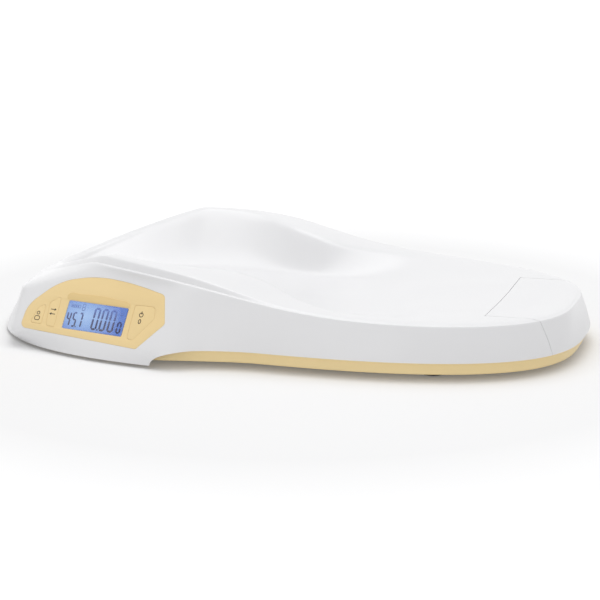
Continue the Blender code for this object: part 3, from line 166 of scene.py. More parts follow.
# The outline that the white mouldings and the base share. Every closed line round the
# scale is one squared oval about its widest place, wider and rounder at the head end.
LENGTH, TRAY_WIDTH = 569 * MM, 294 * MM
HEAD_WIDTH, TAIL_WIDTH = TRAY_WIDTH + 68 * MM, TRAY_WIDTH + 26 * MM
WALL, SEAM = 2.5 * MM, 0.5 * MM
HEM, BELT = 3 * MM, 18 * MM
FOOT_EDGE, HUMP_EDGE, HEAD_EDGE = 48.5 * MM, 82 * MM, 43 * MM
HEAD_X, FOOT_X = -LENGTH / 2, LENGTH / 2
WIDEST_X = -0.057 * LENGTH
EDGE_HEAD_X, EDGE_FOOT_X = HEAD_X + 18 * MM, FOOT_X - 10 * MM
EDGE_POWER, HEM_POWER, FOOT_POWER = 2.03, 2.8, 2.75
HEAD_BULGE, FOOT_BULGE = 4.2 * MM, 1.5 * MM
BELT_SHARE = (FOOT_EDGE - BELT) / (FOOT_EDGE - HEM)
HEM_FOOT_X = EDGE_FOOT_X + (FOOT_X - EDGE_FOOT_X - FOOT_BULGE * math.sin(math.pi * BELT_SHARE)) / BELT_SHARE
RISE_CENTRE, RISE_SPREAD = -0.017 * LENGTH, 0.081 * LENGTH
DROP_START, DROP_POWER = -0.2735 * LENGTH, 1.12


def ease(value):
    value = np.clip(value, 0, 1)
    return value * value * (3 - 2 * value)


def between(start, end, x):
    """0 at start and 1 at end, eased; both are shares of the length."""
    return ease((x / LENGTH - start) / (end - start))


def swing(value):
    return 1 / (1 + np.exp(-value))


def turns(count):
    return np.arange(count) * 2 * math.pi / count


def oval(turn, head, foot, half, head_power):
    c, s = np.cos(turn), np.sin(turn)
    power = np.where(c < 0, head_power, FOOT_POWER)
    reach = np.where(c < 0, WIDEST_X - head, foot - WIDEST_X)
    return (WIDEST_X + reach * np.sign(c) * np.abs(c) ** (2 / power),
            half * np.sign(s) * np.abs(s) ** (2 / power))


def edge_height(x):
    rise = swing((RISE_CENTRE - x) / RISE_SPREAD)
    drop = np.clip((DROP_START - x) / (DROP_START - EDGE_HEAD_X), 0, 1) ** DROP_POWER
    return FOOT_EDGE + (HUMP_EDGE - FOOT_EDGE) * rise - (HUMP_EDGE - HEAD_EDGE) * drop


def edge_ring(turn):
    x, y = oval(turn, EDGE_HEAD_X, EDGE_FOOT_X, TRAY_WIDTH / 2, EDGE_POWER)
    return x, y, edge_height(x)


def wall_ring(turn, share, inset=0.0):
    """The outer wall at a share of the way from the tray's edge down to the hem."""
    bulge = np.sin(math.pi * share)
    power = EDGE_POWER + (HEM_POWER - EDGE_POWER) * share
    head = EDGE_HEAD_X + (HEAD_X - EDGE_HEAD_X) * share - HEAD_BULGE * bulge + inset
    foot = EDGE_FOOT_X + (HEM_FOOT_X - EDGE_FOOT_X) * share + FOOT_BULGE * bulge - inset
    x, unit = oval(turn, head, foot, 1.0, power)
    hem_half = (TAIL_WIDTH + (HEAD_WIDTH - TAIL_WIDTH) * between(0.031, -0.145, x)) / 2
    half = TRAY_WIDTH / 2 * (1 - share) + hem_half * share + FOOT_BULGE * bulge - inset
    edge = edge_ring(turn)[2]
    return x, unit * half, edge + (HEM - edge) * share


def points_of(ring):
    return np.column_stack([np.broadcast_to(value, ring[0].shape) for value in ring])


def lone(piece):
    """Make one object the only selected and the active one."""
    bpy.ops.object.select_all(action="DESELECT")
    piece.select_set(True)
    bpy.context.view_layer.objects.active = piece


def apply_all(piece):
    lone(piece)
    for modifier in list(piece.modifiers):
        bpy.ops.object.modifier_apply(modifier=modifier.name)


def smooth(piece, angle=35):
    lone(piece)
    bpy.ops.object.shade_smooth_by_angle(angle=math.radians(angle))


def rolled_sheet(name, rings):
    """A skin through closed rings: a grid with a row for each, rolled round and sewn shut."""
    rows, columns = len(rings), len(rings[0])
    bpy.ops.object.select_all(action="DESELECT")
    bpy.ops.mesh.primitive_grid_add(x_subdivisions=columns, y_subdivisions=rows - 1, size=1)
    sheet = bpy.context.object
    sheet.name = name
    rolled = np.concatenate([np.asarray(rings), np.asarray(rings)[:, :1]], axis=1)
    sheet.data.vertices.foreach_set("co", rolled.reshape(-1))
    bpy.ops.object.mode_set(mode="EDIT")
    bpy.ops.mesh.select_all(action="SELECT")
    bpy.ops.mesh.remove_doubles(threshold=0.01 * MM)
    bpy.ops.mesh.normals_make_consistent(inside=False)
    bpy.ops.object.mode_set(mode="OBJECT")
    return sheet


def shelled(name, rings, followed):
    """A closed wall: an outer skin through the rings, and one wall inside it the inner skin,
    which follows only those of the rings that are no tighter than the wall is thick."""
    rows = np.array([rings[row] for row in followed])
    around = np.roll(rows, -1, axis=1) - np.roll(rows, 1, axis=1)
    square = np.cross(around, np.gradient(rows, axis=0))
    length = np.linalg.norm(square, axis=2, keepdims=True)
    square = np.where(length > 0, square / np.maximum(length, 1e-12), (0, 0, 1))
    inner = rows - square * WALL
    inner[0, :, 2] = rows[0, :, 2]
    return rolled_sheet(name, [*inner[::-1], *rings])


def cut(piece, tools, operation="DIFFERENCE"):
    """Cut the piece with a list of closed tools, then throw the tools away."""
    for number, tool in enumerate(tools):
        modifier = piece.modifiers.new(f"cut_{number}", "BOOLEAN")
        modifier.object, modifier.operation, modifier.solver = tool, operation, "EXACT"
        lone(piece)
        bpy.ops.object.modifier_apply(modifier=modifier.name)
        bpy.data.objects.remove(tool)


def block(name, low, high, place=None, edge=0.0, segments=2):
    """A box between two corners, its edges rounded, set in a piece's own frame."""
    low, high = Vector(low), Vector(high)
    bpy.ops.object.select_all(action="DESELECT")
    bpy.ops.mesh.primitive_cube_add(size=1, location=(low + high) / 2, scale=high - low)
    piece = bpy.context.object
    piece.name = name
    bpy.ops.object.transform_apply(location=True, rotation=True, scale=True)
    if edge:
        modifier = piece.modifiers.new("edge", "BEVEL")
        modifier.width, modifier.segments = edge, segments
        apply_all(piece)
    if place is not None:
        piece.data.transform(place)
    return piece


def plate(name, outlines, low, high, place=None, edge=0.0):
    """A plate from closed outlines of (x, y, smooth), the later ones holes, its rims rounded."""
    curve = bpy.data.curves.new(name, "CURVE")
    curve.dimensions, curve.fill_mode = "2D", "BOTH"
    curve.resolution_u = 12
    curve.extrude = (high - low) / 2 - edge
    curve.bevel_depth, curve.bevel_resolution, curve.offset = edge, 2, -edge
    for outline in outlines:
        spline = curve.splines.new("BEZIER")
        spline.bezier_points.add(len(outline) - 1)
        spline.use_cyclic_u = True
        for knot, (x, y, soft) in zip(spline.bezier_points, outline):
            knot.co = (x, y, 0)
            knot.handle_left_type = knot.handle_right_type = "AUTO" if soft else "VECTOR"
    piece = bpy.data.objects.new(name, curve)
    bpy.context.scene.collection.objects.link(piece)
    lone(piece)
    bpy.ops.object.convert(target="MESH")
    piece = bpy.context.object
    bpy.ops.object.mode_set(mode="EDIT")
    bpy.ops.mesh.select_all(action="SELECT")
    bpy.ops.mesh.remove_doubles(threshold=0.005 * MM)
    bpy.ops.mesh.normals_make_consistent(inside=False)
    bpy.ops.object.mode_set(mode="OBJECT")
    piece.data.transform(Matrix.Translation((0, 0, (low + high) / 2)))
    if place is not None:
        piece.data.transform(place)
    return piece


def shader_group(name, inputs, outputs):
    """An empty node group with named sockets, and its two end nodes."""
    group = bpy.data.node_groups.new(name, "ShaderNodeTree")
    for label, kind, value in inputs:
        socket = group.interface.new_socket(name=label, in_out="INPUT", socket_type=kind)
        if value is not None:
            socket.default_value = value
    for label, kind in outputs:
        group.interface.new_socket(name=label, in_out="OUTPUT", socket_type=kind)
    return group, group.nodes.new("NodeGroupInput"), group.nodes.new("NodeGroupOutput")


def make_moulding():
    """Faint flow marks and a fine skin, as on injection moulded plastic."""
    group, entry, result = shader_group(
        "moulded_skin",
        [("Grain Size", "NodeSocketFloat", 900.0), ("Flow Size", "NodeSocketFloat", 14.0)],
        [("Flow", "NodeSocketFloat"), ("Skin", "NodeSocketFloat")])
    nodes, links = group.nodes, group.links
    place = nodes.new("ShaderNodeTexCoord")
    flow = nodes.new("ShaderNodeTexNoise")
    flow.inputs["Detail"].default_value = 3
    links.new(place.outputs["Object"], flow.inputs["Vector"])
    links.new(entry.outputs["Flow Size"], flow.inputs["Scale"])
    skin = nodes.new("ShaderNodeTexNoise")
    skin.inputs["Detail"].default_value = 2
    links.new(place.outputs["Object"], skin.inputs["Vector"])
    links.new(entry.outputs["Grain Size"], skin.inputs["Scale"])
    links.new(flow.outputs["Fac"], result.inputs["Flow"])
    links.new(skin.outputs["Fac"], result.inputs["Skin"])
    return group


moulded_skin = make_moulding()


def plastic(name, colour, second, gloss, spread=0.06, skin=0.02, coat=0.0, grain=900.0, metallic=0.0):
    """A moulded finish that drifts between two near colours and two near roughnesses."""
    made = bpy.data.materials.new(name)
    made.use_nodes = True
    nodes, links = made.node_tree.nodes, made.node_tree.links
    shader = nodes["Principled BSDF"]
    shader.inputs["Metallic"].default_value = metallic
    shader.inputs["Coat Weight"].default_value = coat
    shader.inputs["Coat Roughness"].default_value = 0.08
    marks = nodes.new("ShaderNodeGroup")
    marks.node_tree = moulded_skin
    marks.inputs["Grain Size"].default_value = grain
    tint = nodes.new("ShaderNodeMix")
    tint.data_type = "RGBA"
    tint.inputs["A"].default_value = (*colour, 1)
    tint.inputs["B"].default_value = (*second, 1)
    links.new(marks.outputs["Flow"], tint.inputs["Factor"])
    links.new(tint.outputs["Result"], shader.inputs["Base Color"])
    rough = nodes.new("ShaderNodeMapRange")
    rough.inputs["To Min"].default_value = gloss - spread / 2
    rough.inputs["To Max"].default_value = gloss + spread / 2
    links.new(marks.outputs["Flow"], rough.inputs["Value"])
    links.new(rough.outputs["Result"], shader.inputs["Roughness"])
    bump = nodes.new("ShaderNodeBump")
    bump.inputs["Strength"].default_value = skin
    bump.inputs["Distance"].default_value = 0.2 * MM
    links.new(marks.outputs["Skin"], bump.inputs["Height"])
    links.new(bump.outputs["Normal"], shader.inputs["Normal"])
    return made


def dress(piece, finish, body=None, slot=None, *nodes):
    """Give a piece its material, the body that it rides on and the nodes that it stands for."""
    piece.data.materials.clear()
    piece.data.materials.append(finish)
    if body is not None:
        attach(piece, body)
        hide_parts(*nodes)


white_abs = plastic("white_gloss_abs", (0.83, 0.83, 0.835), (0.80, 0.80, 0.81), 0.30, 0.05, 0.03, coat=0.12)
# The white top shell: tray, shoulders, side walls and flared head end are one ABS
# moulding with a glossy face. A thin ledge runs round under the raised rim, and the
# display face is flattened into the wall. Its end is cut away for the foot slide.
LEDGE = 1.8 * MM
RIM_INSET = (16 * MM, 4 * MM, 4.5 * MM)
BOWL_INSET = (45 * MM, 32 * MM, 80 * MM)
RIM_TOP, RIDGE_STEP = 9 * MM, 2.5 * MM
SHOULDER = 40 * MM
FLOOR = 35.5 * MM
FLOOR_DIP = 2 * MM
TONGUE_WIDTH, TONGUE_X = 152 * MM, FOOT_X - 79 * MM
RING_COUNT = 200

FACE_ORIGIN = Vector((-0.2494 * LENGTH, 24.2 * MM - HEAD_WIDTH / 2, 36 * MM))
FACE_TURN, FACE_LEAN = math.radians(8.4), math.radians(31.7)
FACE_OUT = Vector((-math.sin(FACE_TURN) * math.cos(FACE_LEAN),
                   -math.cos(FACE_TURN) * math.cos(FACE_LEAN), math.sin(FACE_LEAN)))
FACE_ALONG = Vector((math.cos(FACE_TURN), -math.sin(FACE_TURN), 0))
FACE_UP = FACE_OUT.cross(FACE_ALONG)
FACE = Matrix.Translation(FACE_ORIGIN) @ Matrix((FACE_ALONG, FACE_UP, FACE_OUT)).transposed().to_4x4()
FACE_FLAT = (84 * MM, 76 * MM)
FACE_FADE = 30 * MM
FACE_TOP_SHARE, FACE_LOW_SHARE = 0.08, 0.82


def flatten_to_face(x, y, z, share):
    plane = FACE_ORIGIN.y - ((x - FACE_ORIGIN.x) * FACE_OUT.x + (z - FACE_ORIGIN.z) * FACE_OUT.z) / FACE_OUT.y
    near_head = ease((x - FACE_ORIGIN.x + FACE_FLAT[0] + FACE_FADE) / FACE_FADE)
    near_foot = ease((FACE_ORIGIN.x + FACE_FLAT[1] + FACE_FADE - x) / FACE_FADE)
    depth = ease(share / FACE_TOP_SHARE) * ease((1 - share) / (1 - FACE_LOW_SHARE))
    return y + (plane - y) * np.where(y < 0, near_head * near_foot * depth, 0)


def inset_ring(turn, head, foot, side):
    x, unit = oval(turn, EDGE_HEAD_X + head, EDGE_FOOT_X - foot, 1.0, EDGE_POWER)
    return np.array((x, unit * (TRAY_WIDTH / 2 - side)))


def floor_height(x):
    foot = between(0.066, 0.37, x) * (FOOT_EDGE - 0.6 * MM - FLOOR)
    return FLOOR + foot + between(-0.268, -0.39, x) * 5.5 * MM


def tray_rings(turn):
    """Rings from the wall's top edge inwards: ledge, rim, shoulder, bowl and floor."""
    edge_x, edge_y, edge_z = edge_ring(turn)
    rise = 0.8 * MM + 6 * MM * swing((RISE_CENTRE - edge_x) / (0.035 * LENGTH))
    ledge = inset_ring(turn, LEDGE, LEDGE, LEDGE)
    rim = inset_ring(turn, *RIM_INSET)
    rim_z = edge_z + rise
    edge = np.array((edge_x, edge_y))
    for share in (0.35, 1.0):
        yield (*(edge + (ledge - edge) * share), edge_z)
    for share in (0.06, 0.3, 0.7, 0.94):
        yield (*(ledge + (rim - ledge) * share), edge_z + rise * share)
    step = 4 * MM * between(-0.33, -0.43, edge_x)
    wide = SHOULDER * np.exp(-((edge_x + 0.012 * LENGTH) / (0.079 * LENGTH)) ** 2 / 2)
    inner = RIM_TOP + RIDGE_STEP
    ridge = inset_ring(turn, RIM_INSET[0] + inner, RIM_INSET[1] + inner, RIM_INSET[2] + inner + wide)
    climb = swing((0.022 * LENGTH - edge_x) / (0.021 * LENGTH))
    shoulder = 0.8 * MM + 9 * MM * climb
    blend = wide / SHOULDER
    ridge_z = edge_z + rise * (1 - blend) + shoulder * blend - step
    crown = inset_ring(turn, *(value + RIM_TOP for value in RIM_INSET))
    crown_z = rim_z + (ridge_z + step - rim_z) * RIM_TOP / (inner + wide) + 0.2 * MM
    for share in (0.15, 0.55, 0.9):
        dome = 0.3 * MM * math.sin(math.pi * share)
        yield (*(rim + (crown - rim) * share), rim_z + (crown_z - rim_z) * share + dome)
    for share in (0.35, 0.75):
        yield (*(crown + (ridge - crown) * share), crown_z + (ridge_z - crown_z) * share)
    bottom = inset_ring(turn, *BOWL_INSET)
    for out, down in ((0.05, 0.04), (0.14, 0.14), (0.28, 0.32), (0.42, 0.50), (0.58, 0.70), (0.74, 0.86),
                      (0.88, 0.96), (1.0, 1.0)):
        x, y = ridge + (bottom - ridge) * out
        yield (x, y, ridge_z + (floor_height(x) - ridge_z) * down)
    for share in (0.85, 0.62, 0.4, 0.2, 0.0):
        inner_x = WIDEST_X + (x - WIDEST_X) * share
        yield (inner_x, y * share, floor_height(inner_x) - FLOOR_DIP * (1 - share * share))


def white_skin(name):
    """The whole white moulding, before anything is cut from it, as one wall thickness."""
    turn = turns(RING_COUNT)
    rings = []
    for share in (1.0, 0.99, 0.9, 0.82, 0.7, 0.55, 0.4, 0.28, 0.16, 0.08, 0.03, 0.01):
        x, y, z = wall_ring(turn, share)
        rings.append(points_of((x, flatten_to_face(x, y, z, share), z)))
    rings += [points_of(ring) for ring in tray_rings(turn)]
    last = len(rings) - 1
    skin = shelled(name, rings, [0, *range(2, 10), 15, 18, 20, 22, *range(24, last + 1)])
    modifier = skin.modifiers.new("round", "SUBSURF")
    modifier.levels = modifier.render_levels = 1
    apply_all(skin)
    return skin


def side_prism(name, outline):
    """A prism across the whole width from an outline of (x, z) points."""
    half = HEAD_WIDTH
    return plate(name, [outline], -half, half, Matrix.Rotation(math.pi / 2, 4, "X"))


def below_belt(name):
    """All that lies under the shell's lower edge, which sweeps up behind the display end."""
    start, run = -0.137 * LENGTH, 42 * MM
    far, low = FOOT_X + 80 * MM, -10 * MM
    sweep = [(start, low, False)]
    for step in range(17):
        angle = step / 16 * math.pi / 2
        sweep.append((start + run * (1 - math.cos(angle)), HEM + (BELT - HEM) * math.sin(angle), False))
    return side_prism(name, [*sweep, (far, BELT, False), (far, low, False)])


def tongue_block(name, side, back):
    return block(name, (TONGUE_X - back, -TONGUE_WIDTH / 2 - side, -10 * MM),
                 (FOOT_X + 80 * MM, TONGUE_WIDTH / 2 + side, HUMP_EDGE))


PLATE_WIDTH, PLATE_HEIGHT = 152 * MM, 61.6 * MM
PLATE_THICKNESS = 1.2 * MM
WINDOW = (66 * MM, 27.5 * MM)
plate_corners = (
    (-0.524, -0.302, 6), (0.338, -0.374, 3.5), (0.490, 0.060, 4), (0.436, 0.500, 6), (0.255, 0.582, 0),
    (0.110, 0.624, 0), (-0.030, 0.634, 0), (-0.181, 0.583, 0), (-0.311, 0.474, 0), (-0.426, 0.258, 0),
    (-0.502, 0.030, 0))
key_corners = {
    "key_user": ((-0.455, -0.205, 2), (-0.372, -0.210, 2), (-0.375, 0.125, 2), (-0.425, 0.035, 6)),
    "key_unit": ((-0.336, -0.218, 2), (-0.273, -0.228, 2), (-0.280, 0.262, 2), (-0.352, 0.145, 4)),
    "key_zero": ((0.258, -0.236, 2.5), (0.300, -0.250, 3), (0.408, 0.110, 5), (0.398, 0.298, 5), (0.254, 0.288, 2.5)),
}


def filleted(corners):
    """A closed outline through corners of (x, y, radius), each rounded by an arc. A radius of 0 is a smooth knot."""
    outline = []
    for before, corner, after in zip(corners[-1:] + corners[:-1], corners, corners[1:] + corners[:1]):
        if corner[2] == 0:
            outline.append((*corner[:2], True))
            continue
        middle = Vector(corner[:2])
        back, ahead = (Vector(before[:2]) - middle), (Vector(after[:2]) - middle)
        half = back.angle(ahead) / 2
        reach = min(corner[2] / math.tan(half), 0.48 * back.length, 0.48 * ahead.length)
        back.normalize()
        ahead.normalize()
        centre = middle + (back + ahead).normalized() * reach / math.cos(half)
        start, end = middle + back * reach - centre, middle + ahead * reach - centre
        sweep = start.angle_signed(end)
        for step in range(9):
            turned = Matrix.Rotation(-sweep * step / 8, 2) @ start
            outline.append((centre.x + turned.x, centre.y + turned.y, False))
    return outline


def on_face(corners, grow=0.0):
    """An outline on the display face, moved out from its middle by grow."""
    corners = [(x * PLATE_WIDTH, y * PLATE_HEIGHT, radius * MM) for x, y, radius in corners]
    low = [min(corner[axis] for corner in corners) for axis in (0, 1)]
    high = [max(corner[axis] for corner in corners) for axis in (0, 1)]
    middle = [(low[axis] + high[axis]) / 2 for axis in (0, 1)]
    grown = [1 + 2 * grow / (high[axis] - low[axis]) for axis in (0, 1)]
    return filleted([(middle[0] + (x - middle[0]) * grown[0], middle[1] + (y - middle[1]) * grown[1], radius)
                     for x, y, radius in corners])


def rounded(width, height, corner):
    """A rectangle with round corners, as an outline."""
    outline = []
    for quarter in range(4):
        sign_x, sign_y = ((1, 1), (-1, 1), (-1, -1), (1, -1))[quarter]
        for step in range(5):
            angle = (quarter + step / 4) * math.pi / 2
            outline.append((sign_x * (width / 2 - corner) + corner * math.cos(angle),
                            sign_y * (height / 2 - corner) + corner * math.sin(angle), False))
    return outline


top_shell = white_skin("top_shell_skin")
cut(top_shell, [
    below_belt("belt_tool"), tongue_block("tongue_tool", SEAM / 2, SEAM / 2),
    plate("recess_tool", [on_face(plate_corners, 0.12 * MM)], -1.5 * MM, 6 * MM, FACE),
    plate("window_tool", [rounded(WINDOW[0] + 3.8 * MM, WINDOW[1] + 3.8 * MM, 0.5 * MM)], -6 * MM, 4 * MM, FACE),
    *(plate(f"{key}_tool", [on_face(corners, 0.3 * MM)], -8 * MM, 4 * MM, FACE)
      for key, corners in key_corners.items())])
smooth(top_shell)
dress(top_shell, white_abs, "housing", "white_abs", "top_shell")


# The foot slide: the end of the same moulding, on a plate with ribs that runs back
# under the tray between two guides. It pulls out to measure a baby's length.
PLATE_LOW, PLATE_HIGH = 26 * MM, 28.5 * MM
slide_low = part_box("foot_slide")[0]
foot_slide = white_skin("foot_slide_skin")
cut(foot_slide, [tongue_block("tongue_keep", -SEAM / 2, -SEAM / 2)], "INTERSECT")
cut(foot_slide, [below_belt("slide_belt_tool")])
RUNNER = TONGUE_WIDTH / 2 - 2 * MM
RIB, WEB_GAP, WEB_LOW, STEM_HALF = 2 * MM, 0.3 * MM, 31.2 * MM, 71 * MM
under_tray = FOOT_EDGE - 0.6 * MM - FLOOR_DIP - WALL / 2
slide_parts = [
    block("slide_web", (TONGUE_X + WEB_GAP, -TONGUE_WIDTH / 2 + SEAM, WEB_LOW),
          (TONGUE_X + RIB, TONGUE_WIDTH / 2 - SEAM, under_tray), edge=0.2 * MM),
    block("slide_stem", (TONGUE_X + WEB_GAP, -STEM_HALF, PLATE_LOW), (TONGUE_X + RIB, STEM_HALF, under_tray)),
    block("slide_plate", (slide_low.x, -RUNNER, PLATE_LOW),
          (TONGUE_X + RIB / 2, RUNNER, PLATE_HIGH), edge=0.4 * MM)]
for side in (-1, 1):
    inner, outer = sorted((side * (TONGUE_WIDTH / 2 - 8 * MM), side * (TONGUE_WIDTH / 2 - 10 * MM)))
    slide_parts.append(block("slide_rib", (TONGUE_X + RIB / 2, inner, PLATE_LOW),
                             (FOOT_X - 40 * MM, outer, under_tray)))
bpy.ops.object.select_all(action="DESELECT")
for piece in (*slide_parts, foot_slide):
    piece.select_set(True)
bpy.context.view_layer.objects.active = foot_slide
bpy.ops.object.join()
smooth(foot_slide)
dress(foot_slide, white_abs, "foot_slide", "white_abs", "foot_slide")


# The base shell: a cream yellow ABS tray. Its wall shows as a band under the white
# belt and tucks in towards the table; its floor carries the feet and battery door.
BASE_LOW = 6 * MM
BAND_INSET, BAND_FOOT_INSET = 3.6 * MM, 5.2 * MM


def base_ring(turn, height, inset, tuck=0.0):
    """The wall's outline at one height; below the belt it follows the belt's outline."""
    edge_x, _, edge_z = edge_ring(turn)
    skirted = between(-0.137, -0.137 + 42 * MM / LENGTH, edge_x)
    shares = (edge_z - height - tuck * skirted) / (edge_z - HEM)
    steps = inset + (BAND_FOOT_INSET - BAND_INSET) * skirted * (tuck > 0)
    ring = np.array([np.ravel(wall_ring(turn[i:i + 1], shares[i], steps[i])) for i in range(len(turn))])
    ring[:, 2] = height
    return ring


def make_base():
    """A tray with an outer and an inner skin; each row is a height, an inset and a tuck."""
    turn = turns(RING_COUNT)
    tuck = BELT - BASE_LOW
    outer = ((24.0, 5.6, 0), (18.6, 4.0, 0), (18.2, BAND_INSET / MM, 0), (17.6, BAND_INSET / MM, 0.01),
             (14.0, BAND_INSET / MM, 0.5), (10.5, BAND_INSET / MM, 0.85), (8.0, BAND_INSET / MM, 1),
             (6.9, BAND_INSET / MM + 0.2, 1), (6.2, BAND_INSET / MM + 0.8, 1), (6.0, BAND_INSET / MM + 1.8, 1))
    inner = ((8.5, BAND_INSET / MM + 4.0, 1), (9.6, BAND_INSET / MM + 2.6, 1), (14.0, BAND_INSET / MM + 2.6, 0.5),
             (20.0, 7.4, 0), (24.0, 7.6, 0))

    def rings_of(rows):
        return [base_ring(turn, height * MM, inset * MM, share * tuck) for height, inset, share in rows]

    def floor_of(ring):
        floor = []
        for share in (0.9, 0.5, 0.0):
            level = ring.copy()
            level[:, 0] = WIDEST_X + (ring[:, 0] - WIDEST_X) * share
            level[:, 1] = ring[:, 1] * share
            floor.append(level)
        return floor
    skin, lining = rings_of(outer), rings_of(inner)
    return rolled_sheet("base_shell_skin", [*floor_of(lining[0])[::-1], *lining, *skin, *floor_of(skin[-1])])


def drum(name, centre, radius, low, high, place=None, edge=0.0, sides=48):
    """An upright cylinder between two heights, its rims rounded."""
    bpy.ops.object.select_all(action="DESELECT")
    bpy.ops.mesh.primitive_cylinder_add(vertices=sides, radius=radius, depth=high - low,
                                        location=(*centre, (low + high) / 2))
    piece = bpy.context.object
    piece.name = name
    bpy.ops.object.transform_apply(location=True, rotation=True, scale=True)
    if edge:
        modifier = piece.modifiers.new("edge", "BEVEL")
        modifier.width, modifier.segments = edge, 3
        modifier.limit_method, modifier.angle_limit = "ANGLE", math.radians(60)
        apply_all(piece)
    if place is not None:
        piece.data.transform(place)
    return piece


base_shell = make_base()
corners = [name[len("foot_pad_"):] for name in sorted(frame["nodes"]) if name.startswith("foot_pad_")]
screws = [name for name in sorted(frame["nodes"]) if name.startswith("case_screw_")]
FOOT_RADIUS, FOOT_GAP, BOSS_WALL, BOSS_TOP = 15 * MM, 0.3 * MM, 2 * MM, 14.7 * MM
DOOR_GAP, DOOR_LIP, DOOR_SEAT = 0.3 * MM, 3 * MM, 1.25 * MM
SCREW_SINK_RADIUS, SCREW_SINK_TOP, SCREW_BORE_RADIUS = 2.9 * MM, 7.9 * MM, 1.6 * MM


def middle_of(node):
    low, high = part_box(node)
    return ((low.x + high.x) / 2, (low.y + high.y) / 2)


for corner in corners:
    centre = middle_of(f"foot_pad_{corner}")
    boss = drum("boss", centre, FOOT_RADIUS + FOOT_GAP + BOSS_WALL, BASE_LOW + 1.2 * MM, BOSS_TOP)
    cut(base_shell, [boss], "UNION")
    cut(base_shell, [drum("foot_hole", centre, FOOT_RADIUS + FOOT_GAP, -5 * MM, 20 * MM)])
door_low, door_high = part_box("battery_door")
cut(base_shell, [
    block("bay", (door_low.x + DOOR_LIP, door_low.y + DOOR_LIP, -5 * MM),
          (door_high.x - DOOR_LIP, door_high.y - DOOR_LIP, 14 * MM)),
    block("seat", (door_low.x - DOOR_GAP, door_low.y - DOOR_GAP, -5 * MM),
          (door_high.x + DOOR_GAP, door_high.y + DOOR_GAP, BASE_LOW + DOOR_SEAT))])
for screw in screws:
    centre = middle_of(screw)
    cut(base_shell, [drum("sink", centre, SCREW_SINK_RADIUS, -5 * MM, SCREW_SINK_TOP, sides=24),
                     drum("bore", centre, SCREW_BORE_RADIUS, -5 * MM, 20 * MM, sides=24)])
DISPLAY_BOARD_WIDTH, DISPLAY_CLEARANCE = 132 * MM, 1 * MM
reach = DISPLAY_BOARD_WIDTH / 2 + DISPLAY_CLEARANCE
cut(base_shell, [
    block("display_room", (-reach, -19.5 * MM, -13 * MM), (reach, 37 * MM, 4 * MM), FACE),
    block("wall_room", (-84 * MM, -26 * MM, -5 * MM), (84 * MM, 0, 36 * MM), FACE),
    block("rack_way", (TONGUE_X, -8.2 * MM, 19.5 * MM), (FOOT_X + 4 * MM, 2.7 * MM, 30 * MM))])
smooth(base_shell)
# Painted light: this cream is lighter than the faceplate's, though both are the same ABS, to brighten the band that
# lies in shade under the belt.
cream_base_painted_light = plastic("cream_yellow_base_painted_light", (1.0, 0.80, 0.43), (0.97, 0.77, 0.405), 0.38, 0.08, 0.06)
dress(base_shell, cream_base_painted_light, "housing", "yellow_abs", "base_shell")


# The faceplate: a thin cream plate set flush into the display face, with the window
# and three keys in it. It is moulded in the same cream ABS as the base.
cream_abs = plastic("cream_yellow_abs", (0.90, 0.69, 0.35), (0.87, 0.66, 0.325), 0.38, 0.08, 0.06)
faceplate = plate("faceplate_skin", [on_face(plate_corners), rounded(*WINDOW, 1.5 * MM),
                                     *(on_face(corners, 0.15 * MM) for corners in key_corners.values())],
                  -PLATE_THICKNESS, 0, FACE, edge=0.15 * MM)
smooth(faceplate)
dress(faceplate, cream_abs, "housing", "yellow_abs", "faceplate")


# The three keys: cream caps that stand flush in the faceplate, with a hair's gap round
# each. A cap is pressed into the face against a silicone mat under it.
for key, corners in key_corners.items():
    cap = plate(f"{key}_cap", [on_face(corners)], -PLATE_THICKNESS - WALL, 0, FACE, edge=0.25 * MM)
    smooth(cap)
    dress(cap, cream_abs, key, "key_yellow", key)


# The display glass: a liquid crystal cell lit in blue from behind, palest left of its
# middle. It lies just under the clear window and is held by the display board.
def make_lcd_blue():
    made = bpy.data.materials.new("lcd_backlit_blue")
    made.use_nodes = True
    nodes, links = made.node_tree.nodes, made.node_tree.links
    shader = nodes["Principled BSDF"]
    place = nodes.new("ShaderNodeTexCoord")

    def face_value(axis, middle, spread):
        dot = nodes.new("ShaderNodeVectorMath")
        dot.operation = "DOT_PRODUCT"
        dot.inputs[1].default_value = axis
        links.new(place.outputs["Object"], dot.inputs[0])
        scale = nodes.new("ShaderNodeMapRange")
        scale.clamp = False
        centre = axis.dot(FACE_ORIGIN) + middle
        scale.inputs["From Min"].default_value = centre
        scale.inputs["From Max"].default_value = centre + spread
        links.new(dot.outputs["Value"], scale.inputs["Value"])
        return scale.outputs["Result"]
    across = face_value(FACE_ALONG, -12 * MM, 40 * MM)
    up = face_value(FACE_UP, 1 * MM, 19 * MM)
    both = nodes.new("ShaderNodeCombineXYZ")
    links.new(across, both.inputs["X"])
    links.new(up, both.inputs["Y"])
    length = nodes.new("ShaderNodeVectorMath")
    length.operation = "LENGTH"
    links.new(both.outputs[0], length.inputs[0])
    tone = nodes.new("ShaderNodeValToRGB")
    tone.color_ramp.elements[0].color = (0.34, 0.51, 0.80, 1)
    tone.color_ramp.elements[1].color = (0.085, 0.18, 0.56, 1)
    middle = tone.color_ramp.elements.new(0.55)
    middle.color = (0.22, 0.37, 0.70, 1)
    links.new(length.outputs["Value"], tone.inputs["Fac"])
    links.new(tone.outputs["Color"], shader.inputs["Emission Color"])
    shader.inputs["Base Color"].default_value = (0.02, 0.03, 0.06, 1)
    shader.inputs["Emission Strength"].default_value = 0.95
    shader.inputs["Roughness"].default_value = 0.25
    return made


